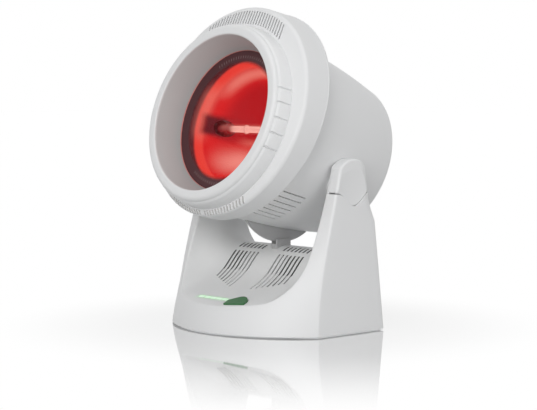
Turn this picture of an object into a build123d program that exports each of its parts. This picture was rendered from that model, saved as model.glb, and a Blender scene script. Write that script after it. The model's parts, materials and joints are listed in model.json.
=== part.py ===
from build123d import *
import math
import os

# Infrared heat therapy lamp: a round lamp head that tilts between the two arms of its base.
# All sizes are in millimetres.  +X is the lamp's right as seen from the front, -Y the front, +Z up.
# The parts are modelled about the middle of the base's footprint and moved once, on export.

# ---- general ---------------------------------------------------------------------------------
WALL = 2.6              # moulded plastic wall
SEAM = 0.3              # visible seam, and the clearance between bodies
SEAT = 0.15             # clearance of a plugged or located piece
RUN_FIT = 0.05          # radial clearance of a turning fit
SHEET = 0.8             # pressed metal sheet
CIRCUIT_BOARD = 1.6     # thickness of a circuit board
BEYOND = 1.0            # how far a cutter runs past what it cuts
ORIGIN_SHIFT_Y = 20.0   # from the footprint's middle to the middle of the overall length

# ---- head, along its own axis: S forward from the pivot, R from the centre line ----------------
OPENING_S = 101.3
OPENING_R = 70.0         # the front opening; every other radius of the head follows it
RIM_R = OPENING_R + 9.4
RIM_FILLET = 3.6
OPENING_FILLET = 1.4
RIM_REAR_S = 94.6
BAND_FRONT_R = RIM_R + 1.6
BAND_REAR_R = BAND_FRONT_R + 1.6
BAND_REAR_S = 84.4
FUNNEL_REAR_R = OPENING_R - 6.6
FUNNEL_REAR_WALL = 3.6   # thickness of its rear edge
GLASS_FRONT_S = 75.0
GLASS_THICK = 4.0
GLASS_R = FUNNEL_REAR_R + 4.6    # its edge is clamped behind the funnel
GLASS_EDGE = 0.5
GASKET_THICK = 2.4
GASKET_WIDTH = 4.6
COLLAR_PLUG_R = BAND_REAR_R - WALL    # skirt of the collar inside the flange
COLLAR_PLUG = 5.0        # length of that skirt
SHOULDER_R = BAND_REAR_R + 1.0   # inner edge of the flange's shoulder
GRIP_ANGLES = (31.0, 21.0, 11.0, 1.0, -9.0)
GRIP_WIDTH = 1.6
GRIP_DEPTH = 1.1

FLANGE_FRONT_S = BAND_REAR_S - 3.0
FLANGE_FRONT_R = SHOULDER_R + 11.2
FLANGE_FRONT_RISE = 6.8
FLANGE_REAR_S = 56.2
FLANGE_REAR_R = FLANGE_FRONT_R + 1.2
FLANGE_REAR_RISE = 8.9
FLANGE_REAR_SLANT = 3.7  # degrees, the rear edge leans back towards the top
FLANGE_EDGE_R = 4.0
FLANGE_WALL_SHARE = 0.6  # wall at the shoulder's outer edge, as a share of the inset
HEAD_VENT_PITCH = 3.4
HEAD_VENT_WIDTH = 1.6
HEAD_VENT_SIDE_COUNT = 14
HEAD_VENT_S = (FLANGE_FRONT_S - 11.4, BAND_REAR_S + 10.6)    # reach of the cutters above
HEAD_VENT_LOW_S = (FLANGE_FRONT_S - 5.0, BAND_REAR_S + 10.6)    # and of those below
HEAD_VENT_START = 1.2    # from the shoulder's inner edge to the upper slots
HEAD_VENT_LOW_START = -0.2
HEAD_VENT_LOW_LIP = 0.8  # left of the flange outside the lower slots
UNDERSIDE = 46.9         # from the pivot down to the underside of the tub

TUB_RISE = 2.0          # rear housing's centre above the head's centre line
TUB_FRONT_S = 67.0
TUB_FRONT_R = COLLAR_PLUG_R + 1.4
TUB_STRAIGHT_S = 45.0   # where the straight front of the tub ends
TUB_MIDDLE = (TUB_FRONT_R - 3.2, -5.0)
TUB_REAR_R = TUB_FRONT_R - 10.8
TUB_REAR_S = -62.0
TUB_REAR_FILLET = 8.0
AXIS_RISE = TUB_FRONT_R - TUB_RISE - UNDERSIDE     # centre line above the pivot
SIDE_VENT_ANGLES = (-44.0, -48.5, -53.0, -57.5, -62.0, -66.5, -71.0)
SIDE_VENT_S = (22.0, 50.0)
SIDE_VENT_WIDTH = 1.4
JOINT_EDGE_R = 1.8      # rounded edge of the joint flange
REAR_SLOT_PITCH = 7.0
REAR_SLOT_COUNT = 9
REAR_SLOT_WIDTH = 3.0
REAR_GRILLE_R = 34.0
HOUSING_SCREW_R = FLANGE_REAR_R - 6.5
HOUSING_SCREW_ANGLES = (50.0, 130.0, 215.0, 325.0)

REFLECTOR_R = FUNNEL_REAR_R - 2.4
REFLECTOR_FLANGE_R = GLASS_R + 2.0
REFLECTOR_DEPTH = 45.0
LAMP_GATE_R = 7.5       # openings in the reflector for the ends of the tube
LAMP_S = 44.3
TUBE_R = 5.0
TUBE_WALL = 0.9
TUBE_HALF = REFLECTOR_R - 4.0
ELEMENT_HALF = TUBE_HALF - 7.0
ELEMENT_R = 1.3
ELEMENT_SUPPORT = 0.8    # thickness of a support disc
ELEMENT_SUPPORTS = (-36.0, -12.0, 12.0, 36.0)
SOCKET_SIZE = (12.0, 17.0, 18.0)
SOCKET_INNER_X = TUBE_HALF - 5.5
SOCKET_EDGE = 1.5
BRACKET_WIDTH = 12.0
BRACKET_FOOT = 7.0
SHIELD_R = REFLECTOR_FLANGE_R + 1.5
SHIELD_FLANGE_R = TUB_FRONT_R - SHEET
SHIELD_FLOOR_S = 13.5
SHIELD_HOLE_RING_R = SHIELD_R - 29.5
SHIELD_HOLE_R = 6.0
SHIELD_HOLES = 8
CUTOUT_RISE = 14.0
CUTOUT_R = 8.0
CUTOUT_THICK = 5.0
CUTOUT_STRAP = (26.0, 8.0, 1.2)
CUTOUT_TAB = (2.4, 4.0, 5.0)
CUTOUT_TAB_X = 4.5

FAN_SIZE = 76.0
FAN_THICK = 20.0
FAN_BORE_R = 35.5
FAN_BLADE_R = 34.0
FAN_HUB_R = 14.0
FAN_BLADES = 7
FAN_SHAFT_R = 1.6
FAN_HUB_EDGE = 1.5
FAN_CHORD = 15.0
FAN_BLADE = 1.3          # thickness of a blade
FAN_BLADE_PITCH = 38.0   # degrees
FAN_CORNER_R = 5.0
FAN_STRUTS = 3
FAN_SCREW = 66.0
FAN_STRUT = 4.0

# ---- base ------------------------------------------------------------------------------------
PIVOT_Y = 30.0          # axis on which the head tilts
PIVOT_Z = 129.5
ARM_CLEARANCE = 7.8     # between the tub and each arm
ARM_INNER_X = math.sqrt(TUB_MIDDLE[0] ** 2 - (AXIS_RISE + TUB_RISE) ** 2) + ARM_CLEARANCE
FOOT_GAP = 1.0          # lower edge of the shell above the table
QUADRANT_R = UNDERSIDE + 9.8
QUADRANT_GAP = 1.2      # under it, in the post's slot
POST_SLOT_BOTTOM_Z = PIVOT_Z - QUADRANT_R - QUADRANT_GAP
# height, half width, front corner Y, bow of the front, rear Y
BASE_SECTIONS = (
    (FOOT_GAP, ARM_INNER_X + 14.7, -15.5, 49.9, 65.4),
    (57.0, ARM_INNER_X + 13.5, -8.2, 29.0, 60.0),
    (100.0, ARM_INNER_X + 12.6, 2.5, 9.0, 55.5),
    (PIVOT_Z + 25.5, ARM_INNER_X + 11.6, 16.0, 3.0, 48.0),
)
SADDLE_Z = POST_SLOT_BOTTOM_Z - 1.8     # top of the floor between the arms
TROUGH_TOP_Z = PIVOT_Z + 45.5    # above everything in the base
# Y and height of points on the floor of the trough between the arms
TROUGH_FLOOR = ((-95.0, 11.5), (-56.0, 23.8), (-22.0, 35.5), (-1.0, 48.2), (13.5, SADDLE_Z - 6.4),
                (24.0, SADDLE_Z - 0.8), (34.0, SADDLE_Z), (52.0, SADDLE_Z - 6.8), (80.0, SADDLE_Z - 19.8))
TROUGH_CORNER_R = 27.0
FLOOR_STEPS = 24        # points that carry the inner side of the floor
CAP_SEAM_Z = PIVOT_Z - 9.9       # where the arm caps meet the shell
CAP_TONGUE = 10.0       # dip of that seam in the middle of the arm
CAP_TONGUE_HALF = 14.3  # half width of the dip
CAP_SHOULDER = 1.0      # dip at the two ends of the tongue
CAP_REACH = 14.0        # how far the cap's cutter stands out past the arm

# slots in the trough
VENT_FIRST_X = 14.0
VENT_PITCH = 5.0
VENT_COUNT = 7
VENT_WIDTH = 2.0
VENT_LONG_Y = (-1.0, 13.5)
VENT_SHORT_Y = (17.5, 24.5)
VENT_GROOVE_Y = (-22.0, -10.0)   # far ends of the shallow run-outs, inner and outer slot
VENT_GROOVE_DEPTH = 0.8
VENT_CUT_Z = (26.0, 90.0)        # height range of the slot cutters

# ---- pivot and tilt brake ----------------------------------------------------------------------
ARCH_R = 21.6           # rounded top of each arm
ARCH_DROP = 1.0         # its centre below the pivot
ARCH_LEAN = 14.0        # slope of its front flank from upright, degrees
ARCH_REAR_LEAN = 9.0
ARCH_FLANK = 49.5       # height of the flanks, down into the base
CAP_FACE_X = ARM_INNER_X + 12.2     # the cap's outer face at the pivot
CAP_HOLLOW_X = CAP_FACE_X - 3.2     # inside of its outer wall
CAP_GAP = 0.5           # seam between the cap and the shell
CAP_EDGE_R = 2.0
LIP_R = 1.5             # rounding of the trough's front and rear edges
CAP_RIM = 4.2
CAP_DISH = 1.5
CAP_DISH_R = 170.0
CAP_DISH_DROP = 8.0     # the dish's deepest point below the pivot
TILT = 17.4             # rest tilt of the head, degrees
AXLE_R = 5.0
AXLE_INNER_X = ARM_INNER_X - 15.5   # inner end of each axle, at its head
BOSS_R = 12.5
BOSS_INNER_X = AXLE_INNER_X
BOSS_OUTER_X = ARM_INNER_X - 1.5
AXLE_HEAD_R = 7.4
AXLE_HEAD = 2.0
BUSH_R = 8.0
BUSH_FLANGE_R = 11.5
BUSH_FLANGE = 1.6
WASHER = 1.2
SPRING_WASHER_R = 8.8
NUT_R = 7.6
NUT_THICK = 2.8
QUADRANT_THICK = 3.0
QUADRANT_FRONT = 56.0   # degrees forward of straight down
QUADRANT_REAR = 29.0
POST_SIZE = (7.6, 18.0)
POST_Y = 28.0
POST_TOP_Z = POST_SLOT_BOTTOM_Z + 4.2
POST_ROOT = 8.0         # how far its blank starts below its slot
POST_CORNER_R = 1.5
PAD = 0.8               # brake pad
PAD_MARGIN = 2.0        # from the pad's ends to the post's

# ---- button, lights and board ------------------------------------------------------------------
PANEL_Y = -46.0         # where the panel touches the trough's floor, behind the lip
BUTTON_X = 25.0
BUTTON_ALONG = -5.6     # flat side of the button, measured along the panel
BUTTON_TURN = 13.0      # the flat side follows the lip
BUTTON_HALF_WIDTH = 10.6
BUTTON_DEPTH = 15.0
BUTTON_BULGE = (0.86, 0.6)   # shares of the half width and depth that its round side passes
BUTTON_PROUD = 1.5
BUTTON_TRAVEL = 1.0
BUTTON_FLANGE = 1.2
BUTTON_LEDGE = 1.3      # flange wider than the button
BUTTON_SWITCH_ALONG = 1.0
BUTTON_STEM_R = 2.4
FLANGE_DROP = 3.9       # from the panel surface to the button's flange
LIGHT_COUNT = 5
LIGHT_PITCH = 7.7
LIGHT_FIRST_X = -25.4
LIGHT_ALONG = 2.5
LIGHT_SIZE = (6.4, 3.0)
LIGHT_LOW = -7.0        # underside of the light guide, below the panel surface
LIGHT_BAR = 1.6
LED_SIZE = (3.0, 2.0, 1.0)
BOARD_X = 4.0
BOARD_SIZE = (84.0, 16.0)
BOARD_ALONG = 5.5
BOARD_DROP = 11.0       # from the panel surface to the top of the board
BOARD_PILLARS = (BOARD_X - 38.0, BOARD_X + 38.0)
SWITCH_SIZE = (6.0, 6.0, 3.6)
SWITCH_PLUNGER = (1.7, 0.6)

# ---- bottom of the base -----------------------------------------------------------------------
FRONT_CORNER_R = 2.4
REAR_CORNER_R = 12.0
PLATE_LOW_Z = 1.6
PLATE_TOP_Z = 4.2
FOOT_R = 8.0
FEET = ((-72.0, 46.0), (72.0, 46.0), (-62.0, -18.0), (62.0, -18.0))
BASE_SCREWS = ((-52.0, 44.0), (52.0, 44.0), (-44.0, -24.0), (44.0, -24.0))
BOSS_SMALL_R = 4.0
SCREW_R = 1.45
SCREW_HOLE_R = 1.5
SCREW_LENGTH = 9.0
SCREW_HEAD_R = 3.2
SCREW_HEAD = 1.3
SMALL_HEAD_R = 2.6
SMALL_HEAD = 1.4
RECESS_R = 0.9
RECESS = 0.7
INTAKE_Y = (-6.0, 18.0)
INTAKE_FIRST_X = 16.0
INTAKE_PITCH = 5.0
INTAKE_COUNT = 6
INTAKE_WIDTH = 2.4
POWER_X = (-36.0, 34.0)
POWER_Y = (-14.0, 26.0)
POWER_Z = 12.0
POWER_POSTS = ((-33.0, -11.0), (31.0, -11.0), (-33.0, 23.0), (31.0, 23.0))
RELAY_SIZE = (19.0, 15.5, 15.8)
RELAY_XY = (-20.5, 9.75)
RELAY_EDGE_R = 1.0
CAPACITOR_R = 7.0
CAPACITOR_HEIGHT = 18.0
CAPACITOR_XY = (18.0, 10.0)
CAPACITOR_EDGE_R = 0.8
TERMINAL_SIZE = (36.0, 14.0, 14.0)
TERMINAL_XY = (14.0, 45.0)
TERMINAL_POLES = 3
TERMINAL_WELL_R = 2.6
TERMINAL_WELL = 4.9      # depth of a screw's well
TERMINAL_WIRE_R = 2.0
TERMINAL_WIRE_RISE = 4.7
GLAND_X = 40.0
GLAND_COLLAR = 2.0
GLAND_COLLAR_R = 7.6
GLAND_Z = 17.0
GLAND_R = 6.0
GLAND_BORE_R = 3.6
GLAND_LENGTH = 12.0
GLAND_INSET = 4.7       # its middle in from the base's rear edge

HEAD = Pos(0, PIVOT_Y, PIVOT_Z) * Rot(90 - TILT, 0, 0) * Pos(0, AXIS_RISE, 0)
PIVOT_H = -AXIS_RISE    # the pivot's height in the head's own frame
PIVOT = Pos(0, PIVOT_Y, PIVOT_Z)
FLANGE = Pos(0, 0, FLANGE_REAR_S) * Rot(-FLANGE_REAR_SLANT, 0, 0)
GLAND = Pos(GLAND_X, BASE_SECTIONS[0][4] - GLAND_INSET, GLAND_Z) * Rot(-90, 0, 0)


# ---- helpers -----------------------------------------------------------------------------------
def rod(radius, start, end):
    """A cylinder along X from start to end."""
    return Pos((start + end) / 2, 0, 0) * Rot(0, 90, 0) * Cylinder(radius, abs(end - start))


def disc(radius, start, end, rise=0.0):
    """A cylinder along the head's axis from start to end."""
    return Pos(0, rise, (start + end) / 2) * Cylinder(radius, abs(end - start))


def turned(points):
    """A closed (radius, S) outline turned about the head's axis."""
    path = [Vector(r, 0, s) for r, s in points]
    return revolve(make_face(Polyline(*path, close=True)), Axis.Z, 360)


def both_sides(part):
    """The part and its mirror image across the lamp's middle."""
    return part, mirror(part, Plane.YZ)


def slab(x_range, y_range, z_range):
    """A box given by its ranges."""
    size = [b - a for a, b in (x_range, y_range, z_range)]
    mid = [(a + b) / 2 for a, b in (x_range, y_range, z_range)]
    return Pos(*mid) * Box(*size)


# ---- base --------------------------------------------------------------------------------------
def plan_section(height, half_width, corner_y, bow, rear_y, inset=0.0):
    """Outline of the base at one height: a bowed front, straight sides and a straight rear."""
    bow_radius = (half_width ** 2 + bow ** 2) / (2 * bow)
    centre_y = corner_y - bow + bow_radius
    bow_radius, half_width, rear_y = bow_radius - inset, half_width - inset, rear_y - inset
    corner_y = centre_y - math.sqrt(bow_radius ** 2 - half_width ** 2)
    edges = [
        ThreePointArc((-half_width, corner_y), (0, centre_y - bow_radius), (half_width, corner_y)),
        Line((half_width, corner_y), (half_width, rear_y)),
        Line((half_width, rear_y), (-half_width, rear_y)),
        Line((-half_width, rear_y), (-half_width, corner_y)),
    ]
    return Pos(0, 0, height) * make_face(edges)


def base_blank(inset=0.0):
    """The base's outer form before the trough is cut, or the same form inset by a wall."""
    return loft([plan_section(*section, inset=inset) for section in BASE_SECTIONS])


def floor_curve(grow=0.0):
    """The line of the trough's floor in the lamp's middle, or the same line lowered by a wall."""
    floor = Spline(*[(0, y, z) for y, z in TROUGH_FLOOR])
    if not grow:
        return floor
    lowered = []
    for i in range(FLOOR_STEPS + 1):
        point, along = floor @ (i / FLOOR_STEPS), floor % (i / FLOOR_STEPS)
        lowered.append(point + Vector(0, along.Z, -along.Y) * grow)
    return Spline(*lowered)


def panel_frame():
    """The place on the trough's floor at PANEL_Y, turned to the floor's slope there."""
    floor = floor_curve().edge()
    upright = Edge.make_line((0, PANEL_Y, 0), (0, PANEL_Y, TROUGH_TOP_Z))
    point = floor.closest_points(upright)[0]
    along = floor.tangent_at(floor.param_at_point(point))
    return Pos(*point) * Rot(math.degrees(math.atan2(along.Z, along.Y)), 0, 0)


def trough(grow=0.0):
    """The space between the arms: a smooth floor across, rounded up into the arms."""
    floor = floor_curve(grow)
    start, end = floor @ 0, floor @ 1
    sides = Polyline(end, (0, end.Y, TROUGH_TOP_Z), (0, start.Y, TROUGH_TOP_Z), start)
    face = make_face([*floor.edges(), *sides.edges()])
    space = extrude(face, ARM_INNER_X + grow, dir=(1, 0, 0), both=True)
    corners = [e for e in space.edges() if e.geom_type == GeomType.BSPLINE]
    return fillet(corners, TROUGH_CORNER_R + grow)


def arch_outline(inset=0.0):
    """Side outline of an arm: a round top on flanks that lean outwards on the way down."""
    radius = ARCH_R - inset
    centre_z = PIVOT_Z - ARCH_DROP
    lean, rear_lean = math.radians(ARCH_LEAN), math.radians(ARCH_REAR_LEAN)
    front_tangent = (PIVOT_Y - radius * math.cos(lean), centre_z + radius * math.sin(lean))
    rear_tangent = (PIVOT_Y + radius * math.cos(rear_lean), centre_z + radius * math.sin(rear_lean))
    drop = ARCH_FLANK
    front_foot = (front_tangent[0] - drop * math.tan(lean), front_tangent[1] - drop)
    rear_foot = (rear_tangent[0] + drop * math.tan(rear_lean), rear_tangent[1] - drop)
    edges = [
        Line(front_foot, front_tangent),
        ThreePointArc(front_tangent, (PIVOT_Y, centre_z + radius), rear_tangent),
        Line(rear_tangent, rear_foot),
        Line(rear_foot, front_foot),
    ]
    return Plane.YZ * make_face(edges)


def tall_edges(part, front):
    """Two corner edges of the blank: the front ones or the rear ones."""
    upright = [e for e in part.edges() if e.bounding_box().size.Z > PIVOT_Z / 2]
    return [e for e in upright if (e.center().Y < PIVOT_Y) == front]


def base_form(inset=0.0):
    """The blank with its upright corners rounded."""
    blank = base_blank(inset)
    blank = fillet(tall_edges(blank, True), FRONT_CORNER_R)
    return fillet(tall_edges(blank, False), REAR_CORNER_R - inset)


def outer_form():
    """The base's outside: the blank with the trough cut, and the cut's edges rounded."""
    blank, space = base_form(), trough()
    form = blank - space
    return fillet(new_edges(blank, space, combined=form), LIP_R)


def vent_slots():
    """X of every slot in the trough, with its place in its group from 0 to 1."""
    for side in (-1, 1):
        for i in range(VENT_COUNT):
            yield side * (VENT_FIRST_X + i * VENT_PITCH), i / (VENT_COUNT - 1)


def cut_vents(shell):
    """Cut the through slots and their shallow run-outs into the trough's floor."""
    half = VENT_WIDTH / 2
    through, grooves = [], []
    for x, share in vent_slots():
        for y_range in (VENT_LONG_Y, VENT_SHORT_Y):
            through.append(slab((x - half, x + half), y_range, VENT_CUT_Z))
        end = VENT_GROOVE_Y[0] + share * (VENT_GROOVE_Y[1] - VENT_GROOVE_Y[0])
        grooves.append(slab((x - half, x + half), (end, VENT_LONG_Y[0]), VENT_CUT_Z))
    shallow = Pos(0, 0, -VENT_GROOVE_DEPTH) * trough()
    shell -= Compound(through)
    return shell - [g & shallow for g in grooves]


def cap_region(seam_gap=0.0, seat=0.0):
    """The space of the right arm cap: outside the inner plate and above the tongued seam."""
    low = CAP_SEAM_Z + seam_gap
    front, rear = PIVOT_Y - ARCH_R - CAP_REACH, PIVOT_Y + ARCH_R + CAP_REACH
    seam = Spline((0, front, low), (0, PIVOT_Y - CAP_TONGUE_HALF, low - CAP_SHOULDER),
                  (0, PIVOT_Y, low - CAP_TONGUE), (0, PIVOT_Y + CAP_TONGUE_HALF, low - CAP_SHOULDER),
                  (0, rear, low), tangents=((0, 1, 0), (0, 1, 0)))
    rest = Polyline((0, rear, low), (0, rear, TROUGH_TOP_Z), (0, front, TROUGH_TOP_Z), (0, front, low))
    face = make_face([*seam.edges(), *rest.edges()])
    start = ARM_INNER_X + WALL + seat
    return Pos(start, 0, 0) * extrude(face, CAP_FACE_X + CAP_REACH - start, dir=(1, 0, 0))


def arm_mask(inset=0.0):
    """Everything below the cap seam, and the round arch above it."""
    reach = CAP_FACE_X + CAP_REACH
    arch = extrude(arch_outline(inset), reach, dir=(1, 0, 0), both=True)
    return arch + slab((-reach, reach), (-reach, reach), (0, CAP_SEAM_Z))


PANEL = panel_frame()


def panel_place(x, along, height=0.0):
    """A place on the sloping panel behind the lip."""
    return PANEL * Pos(x, along, height)


def button_outline(grow=0.0):
    """D-shaped outline of the button, its flat side along the lip."""
    half, depth = BUTTON_HALF_WIDTH + grow, BUTTON_DEPTH + grow
    flat = Line((-half, -grow), (half, -grow))
    bulge_x, bulge_y = half * BUTTON_BULGE[0], depth * BUTTON_BULGE[1]
    side = Spline((half, -grow), (bulge_x, bulge_y), (0, depth), (-bulge_x, bulge_y), (-half, -grow),
                  tangents=((0, 1), (0, -1)))
    return make_face([*flat.edges(), *side.edges()])


def button_place():
    return panel_place(BUTTON_X, BUTTON_ALONG) * Rot(0, 0, BUTTON_TURN)


def light_places(height):
    """The place of each light at a height over the panel."""
    return [panel_place(LIGHT_FIRST_X + i * LIGHT_PITCH, LIGHT_ALONG, height) for i in range(LIGHT_COUNT)]


def light_windows(grow=0.0):
    """Prisms of the row of lights, through the panel."""
    width, depth = LIGHT_SIZE[0] + 2 * grow, LIGHT_SIZE[1] + 2 * grow
    return [place * Box(width, depth, -2 * LIGHT_LOW) for place in light_places(0)]


def screw_pillars(radius, low, high):
    """Upright cylinders at the base screws."""
    return [Pos(x, y, (low + high) / 2) * Cylinder(radius, high - low) for x, y in BASE_SCREWS]


def board_pillars(radius, low):
    """Cylinders under the panel that carry the control board."""
    return [panel_place(x, BOARD_ALONG, low / 2) * Cylinder(radius, -low) for x in BOARD_PILLARS]


def base_shell():
    """The base housing with its two hollow arms, the trough and its slots."""
    form = outer_form() & arm_mask()
    shell = form - (base_form(WALL) - trough(WALL))
    plate = ARM_INNER_X + WALL
    shell += form & slab((-plate, plate), (PIVOT_Y - 2 * ARCH_R, PIVOT_Y + 2 * ARCH_R),
                         (CAP_SEAM_Z - 3 * CAP_TONGUE, TROUGH_TOP_Z))
    caps = cap_region()
    shell -= [caps, mirror(caps, Plane.YZ)]
    shell += Compound(screw_pillars(BOSS_SMALL_R, PLATE_TOP_Z, PIVOT_Z)) & form
    shell -= screw_pillars(SCREW_HOLE_R, PLATE_TOP_Z - BEYOND, PLATE_TOP_Z + SCREW_LENGTH + BEYOND)
    shell += [p & form for p in board_pillars(BOSS_SMALL_R, -BOARD_DROP)]
    shell = cut_vents(shell)
    shell -= button_place() * extrude(button_outline(SEAM), BOARD_DROP, both=True)
    shell -= light_windows(SEAT)
    shell -= PIVOT * rod(BUSH_R + SEAT, -CAP_FACE_X, CAP_FACE_X)
    shell -= GLAND * Cylinder(GLAND_R + SEAT, 2 * GLAND_LENGTH)
    return shell


def arm_cap():
    """The right arm's cap: a hollow arch with a dished outer face."""
    form = outer_form() & arm_mask() & cap_region(CAP_GAP, SEAT)
    lows = [(e, e.bounding_box().min) for e in form.edges()]
    form = fillet([e for e, low in lows if low.X > CAP_HOLLOW_X and low.Z > CAP_SEAM_Z], CAP_EDGE_R)
    hollow = Pos(ARM_INNER_X, 0, 0) * extrude(arch_outline(WALL), CAP_HOLLOW_X - ARM_INNER_X,
                                              dir=(1, 0, 0))
    dish = extrude(arch_outline(CAP_RIM), CAP_FACE_X + CAP_REACH, dir=(1, 0, 0))
    dish &= Pos(CAP_FACE_X - CAP_DISH + CAP_DISH_R, PIVOT_Y, PIVOT_Z - CAP_DISH_DROP) * Sphere(CAP_DISH_R)
    return form - hollow - dish


def base_plate():
    """The bottom cover, with air slots, screw holes and posts for the power board."""
    reach = 2 * ARM_INNER_X
    plate = base_form(WALL + SEAT) & slab((-reach, reach), (-reach, reach), (PLATE_LOW_Z, PLATE_TOP_Z))
    plate += [Pos(x, y, (PLATE_TOP_Z + POWER_Z) / 2) * Cylinder(BOSS_SMALL_R, POWER_Z - PLATE_TOP_Z)
              for x, y in POWER_POSTS]
    plate -= screw_pillars(SCREW_R + SEAT, 0, PLATE_TOP_Z + BEYOND)
    plate -= screw_pillars(SCREW_HEAD_R + SEAT, 0, PLATE_LOW_Z + SCREW_HEAD)
    half = INTAKE_WIDTH / 2
    slots = [slab((x - half, x + half), INTAKE_Y, (0, PLATE_TOP_Z + BEYOND))
             for x in [side * (INTAKE_FIRST_X + INTAKE_PITCH * i)
                       for side in (-1, 1) for i in range(INTAKE_COUNT)]]
    return plate - Compound(slots)


def base_screws():
    heads = screw_pillars(SCREW_HEAD_R, PLATE_LOW_Z, PLATE_LOW_Z + SCREW_HEAD)
    shanks = screw_pillars(SCREW_R, PLATE_LOW_Z, PLATE_TOP_Z + SCREW_LENGTH)
    recess = screw_pillars(RECESS_R, PLATE_LOW_Z, PLATE_LOW_Z + RECESS)
    return Compound([h + s - r for h, s, r in zip(heads, shanks, recess)])


def rubber_feet():
    return Compound([Pos(x, y, PLATE_LOW_Z / 2) * Cylinder(FOOT_R, PLATE_LOW_Z) for x, y in FEET])


def guide_post():
    """The upright block on the saddle, slotted for the tilt quadrant."""
    width, depth = POST_SIZE
    post = slab((-width / 2, width / 2), (POST_Y - depth / 2, POST_Y + depth / 2),
                (POST_SLOT_BOTTOM_Z - POST_ROOT, POST_TOP_Z))
    post = fillet(post.edges().filter_by(Axis.Z), POST_CORNER_R) & trough()
    slot = QUADRANT_THICK / 2 + SEAM + PAD
    return post - slab((-slot, slot), (POST_Y - depth, POST_Y + depth),
                       (POST_SLOT_BOTTOM_Z, POST_TOP_Z + BEYOND))


def brake_pads():
    """Friction pads in the post, one each side of the quadrant."""
    inner = QUADRANT_THICK / 2 + SEAM
    depth = POST_SIZE[1] / 2 - PAD_MARGIN
    pad = slab((inner, inner + PAD), (POST_Y - depth, POST_Y + depth),
               (POST_SLOT_BOTTOM_Z, POST_TOP_Z - PAD / 2))
    return Compound(list(both_sides(pad)))


def button():
    """The push button: a D-shaped cap, its retaining flange and its stem."""
    cap = button_place() * extrude(button_outline(), FLANGE_DROP, both=True)
    cap -= Pos(PANEL.z_axis.direction * BUTTON_PROUD) * trough()
    cap += button_place() * Pos(0, 0, -FLANGE_DROP - BUTTON_FLANGE) * extrude(
        button_outline(BUTTON_LEDGE), BUTTON_FLANGE)
    stem_low = -BOARD_DROP + SWITCH_SIZE[2] + BUTTON_TRAVEL + SEAM
    top = -FLANGE_DROP - BUTTON_FLANGE
    stem = panel_place(BUTTON_X, BUTTON_SWITCH_ALONG, (stem_low + top) / 2)
    return cap + stem * Cylinder(BUTTON_STEM_R, top - stem_low)


def light_guide():
    """Five light windows joined by a bar under the panel."""
    span = LIGHT_PITCH * (LIGHT_COUNT - 1) + LIGHT_SIZE[0]
    middle = LIGHT_FIRST_X + LIGHT_PITCH * (LIGHT_COUNT - 1) / 2
    guide = Compound(light_windows()) - trough()
    bar = panel_place(middle, LIGHT_ALONG, LIGHT_LOW) * Box(span, LIGHT_SIZE[1] + LIGHT_BAR, LIGHT_BAR)
    return guide + bar


def control_board():
    board = panel_place(BOARD_X, BOARD_ALONG, -BOARD_DROP - CIRCUIT_BOARD / 2)
    holes = [panel_place(x, BOARD_ALONG, -BOARD_DROP) * Cylinder(SCREW_R + SEAT, 4 * CIRCUIT_BOARD)
             for x in BOARD_PILLARS]
    return board * Box(*BOARD_SIZE, CIRCUIT_BOARD) - Compound(holes)


def board_screws():
    low = -BOARD_DROP - CIRCUIT_BOARD
    parts = []
    for x in BOARD_PILLARS:
        head = panel_place(x, BOARD_ALONG, low - SMALL_HEAD / 2) * Cylinder(SMALL_HEAD_R, SMALL_HEAD)
        shank = panel_place(x, BOARD_ALONG, low + CIRCUIT_BOARD / 2) * Cylinder(SCREW_R, CIRCUIT_BOARD)
        parts.append(head + shank)
    return Compound(parts)


def push_switch():
    """The tact switch under the button's stem."""
    length, width, height = SWITCH_SIZE
    radius, travel = SWITCH_PLUNGER
    body = panel_place(BUTTON_X, BUTTON_SWITCH_ALONG, -BOARD_DROP + (height - travel) / 2)
    plunger = panel_place(BUTTON_X, BUTTON_SWITCH_ALONG, -BOARD_DROP + height - travel / 2)
    return body * Box(length, width, height - travel) + plunger * Cylinder(radius, travel)


def indicator_leds():
    return Compound([place * Box(*LED_SIZE) for place in light_places(-BOARD_DROP + LED_SIZE[2] / 2)])


def power_board():
    board = slab(POWER_X, POWER_Y, (POWER_Z, POWER_Z + CIRCUIT_BOARD))
    return board - Compound([Pos(x, y, POWER_Z) * Cylinder(SCREW_R + SEAT, 4 * CIRCUIT_BOARD)
                             for x, y in POWER_POSTS])


def relay():
    length, width, height = RELAY_SIZE
    block = Pos(*RELAY_XY, POWER_Z + CIRCUIT_BOARD + height / 2) * Box(length, width, height)
    return fillet(block.edges().filter_by(Axis.Z), RELAY_EDGE_R)


def capacitor():
    middle = POWER_Z + CIRCUIT_BOARD + CAPACITOR_HEIGHT / 2
    can = Pos(*CAPACITOR_XY, middle) * Cylinder(CAPACITOR_R, CAPACITOR_HEIGHT)
    return fillet(can.edges().group_by(Axis.Z)[-1], CAPACITOR_EDGE_R)


def terminal_block():
    """The mains terminal block, with a screw well and a wire hole for each pole."""
    length, width, height = TERMINAL_SIZE
    x, y = TERMINAL_XY
    block = Pos(x, y, PLATE_TOP_Z + height / 2) * Box(length, width, height)
    pitch = length / TERMINAL_POLES
    for i in range(TERMINAL_POLES):
        pole = Pos(x + pitch * (i - (TERMINAL_POLES - 1) / 2), y, PLATE_TOP_Z)
        block -= pole * Pos(0, 0, height) * Cylinder(TERMINAL_WELL_R, 2 * TERMINAL_WELL)
        block -= pole * Pos(0, 0, TERMINAL_WIRE_RISE) * Rot(90, 0, 0) * Cylinder(TERMINAL_WIRE_R, 2 * width)
    return block


def cord_gland():
    """The rear cord inlet: a bored bushing with a collar outside the wall."""
    body = Cylinder(GLAND_R, GLAND_LENGTH)
    body += Pos(0, 0, (GLAND_LENGTH - GLAND_COLLAR) / 2) * Cylinder(GLAND_COLLAR_R, GLAND_COLLAR)
    return GLAND * (body - Cylinder(GLAND_BORE_R, 2 * GLAND_LENGTH))


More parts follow.
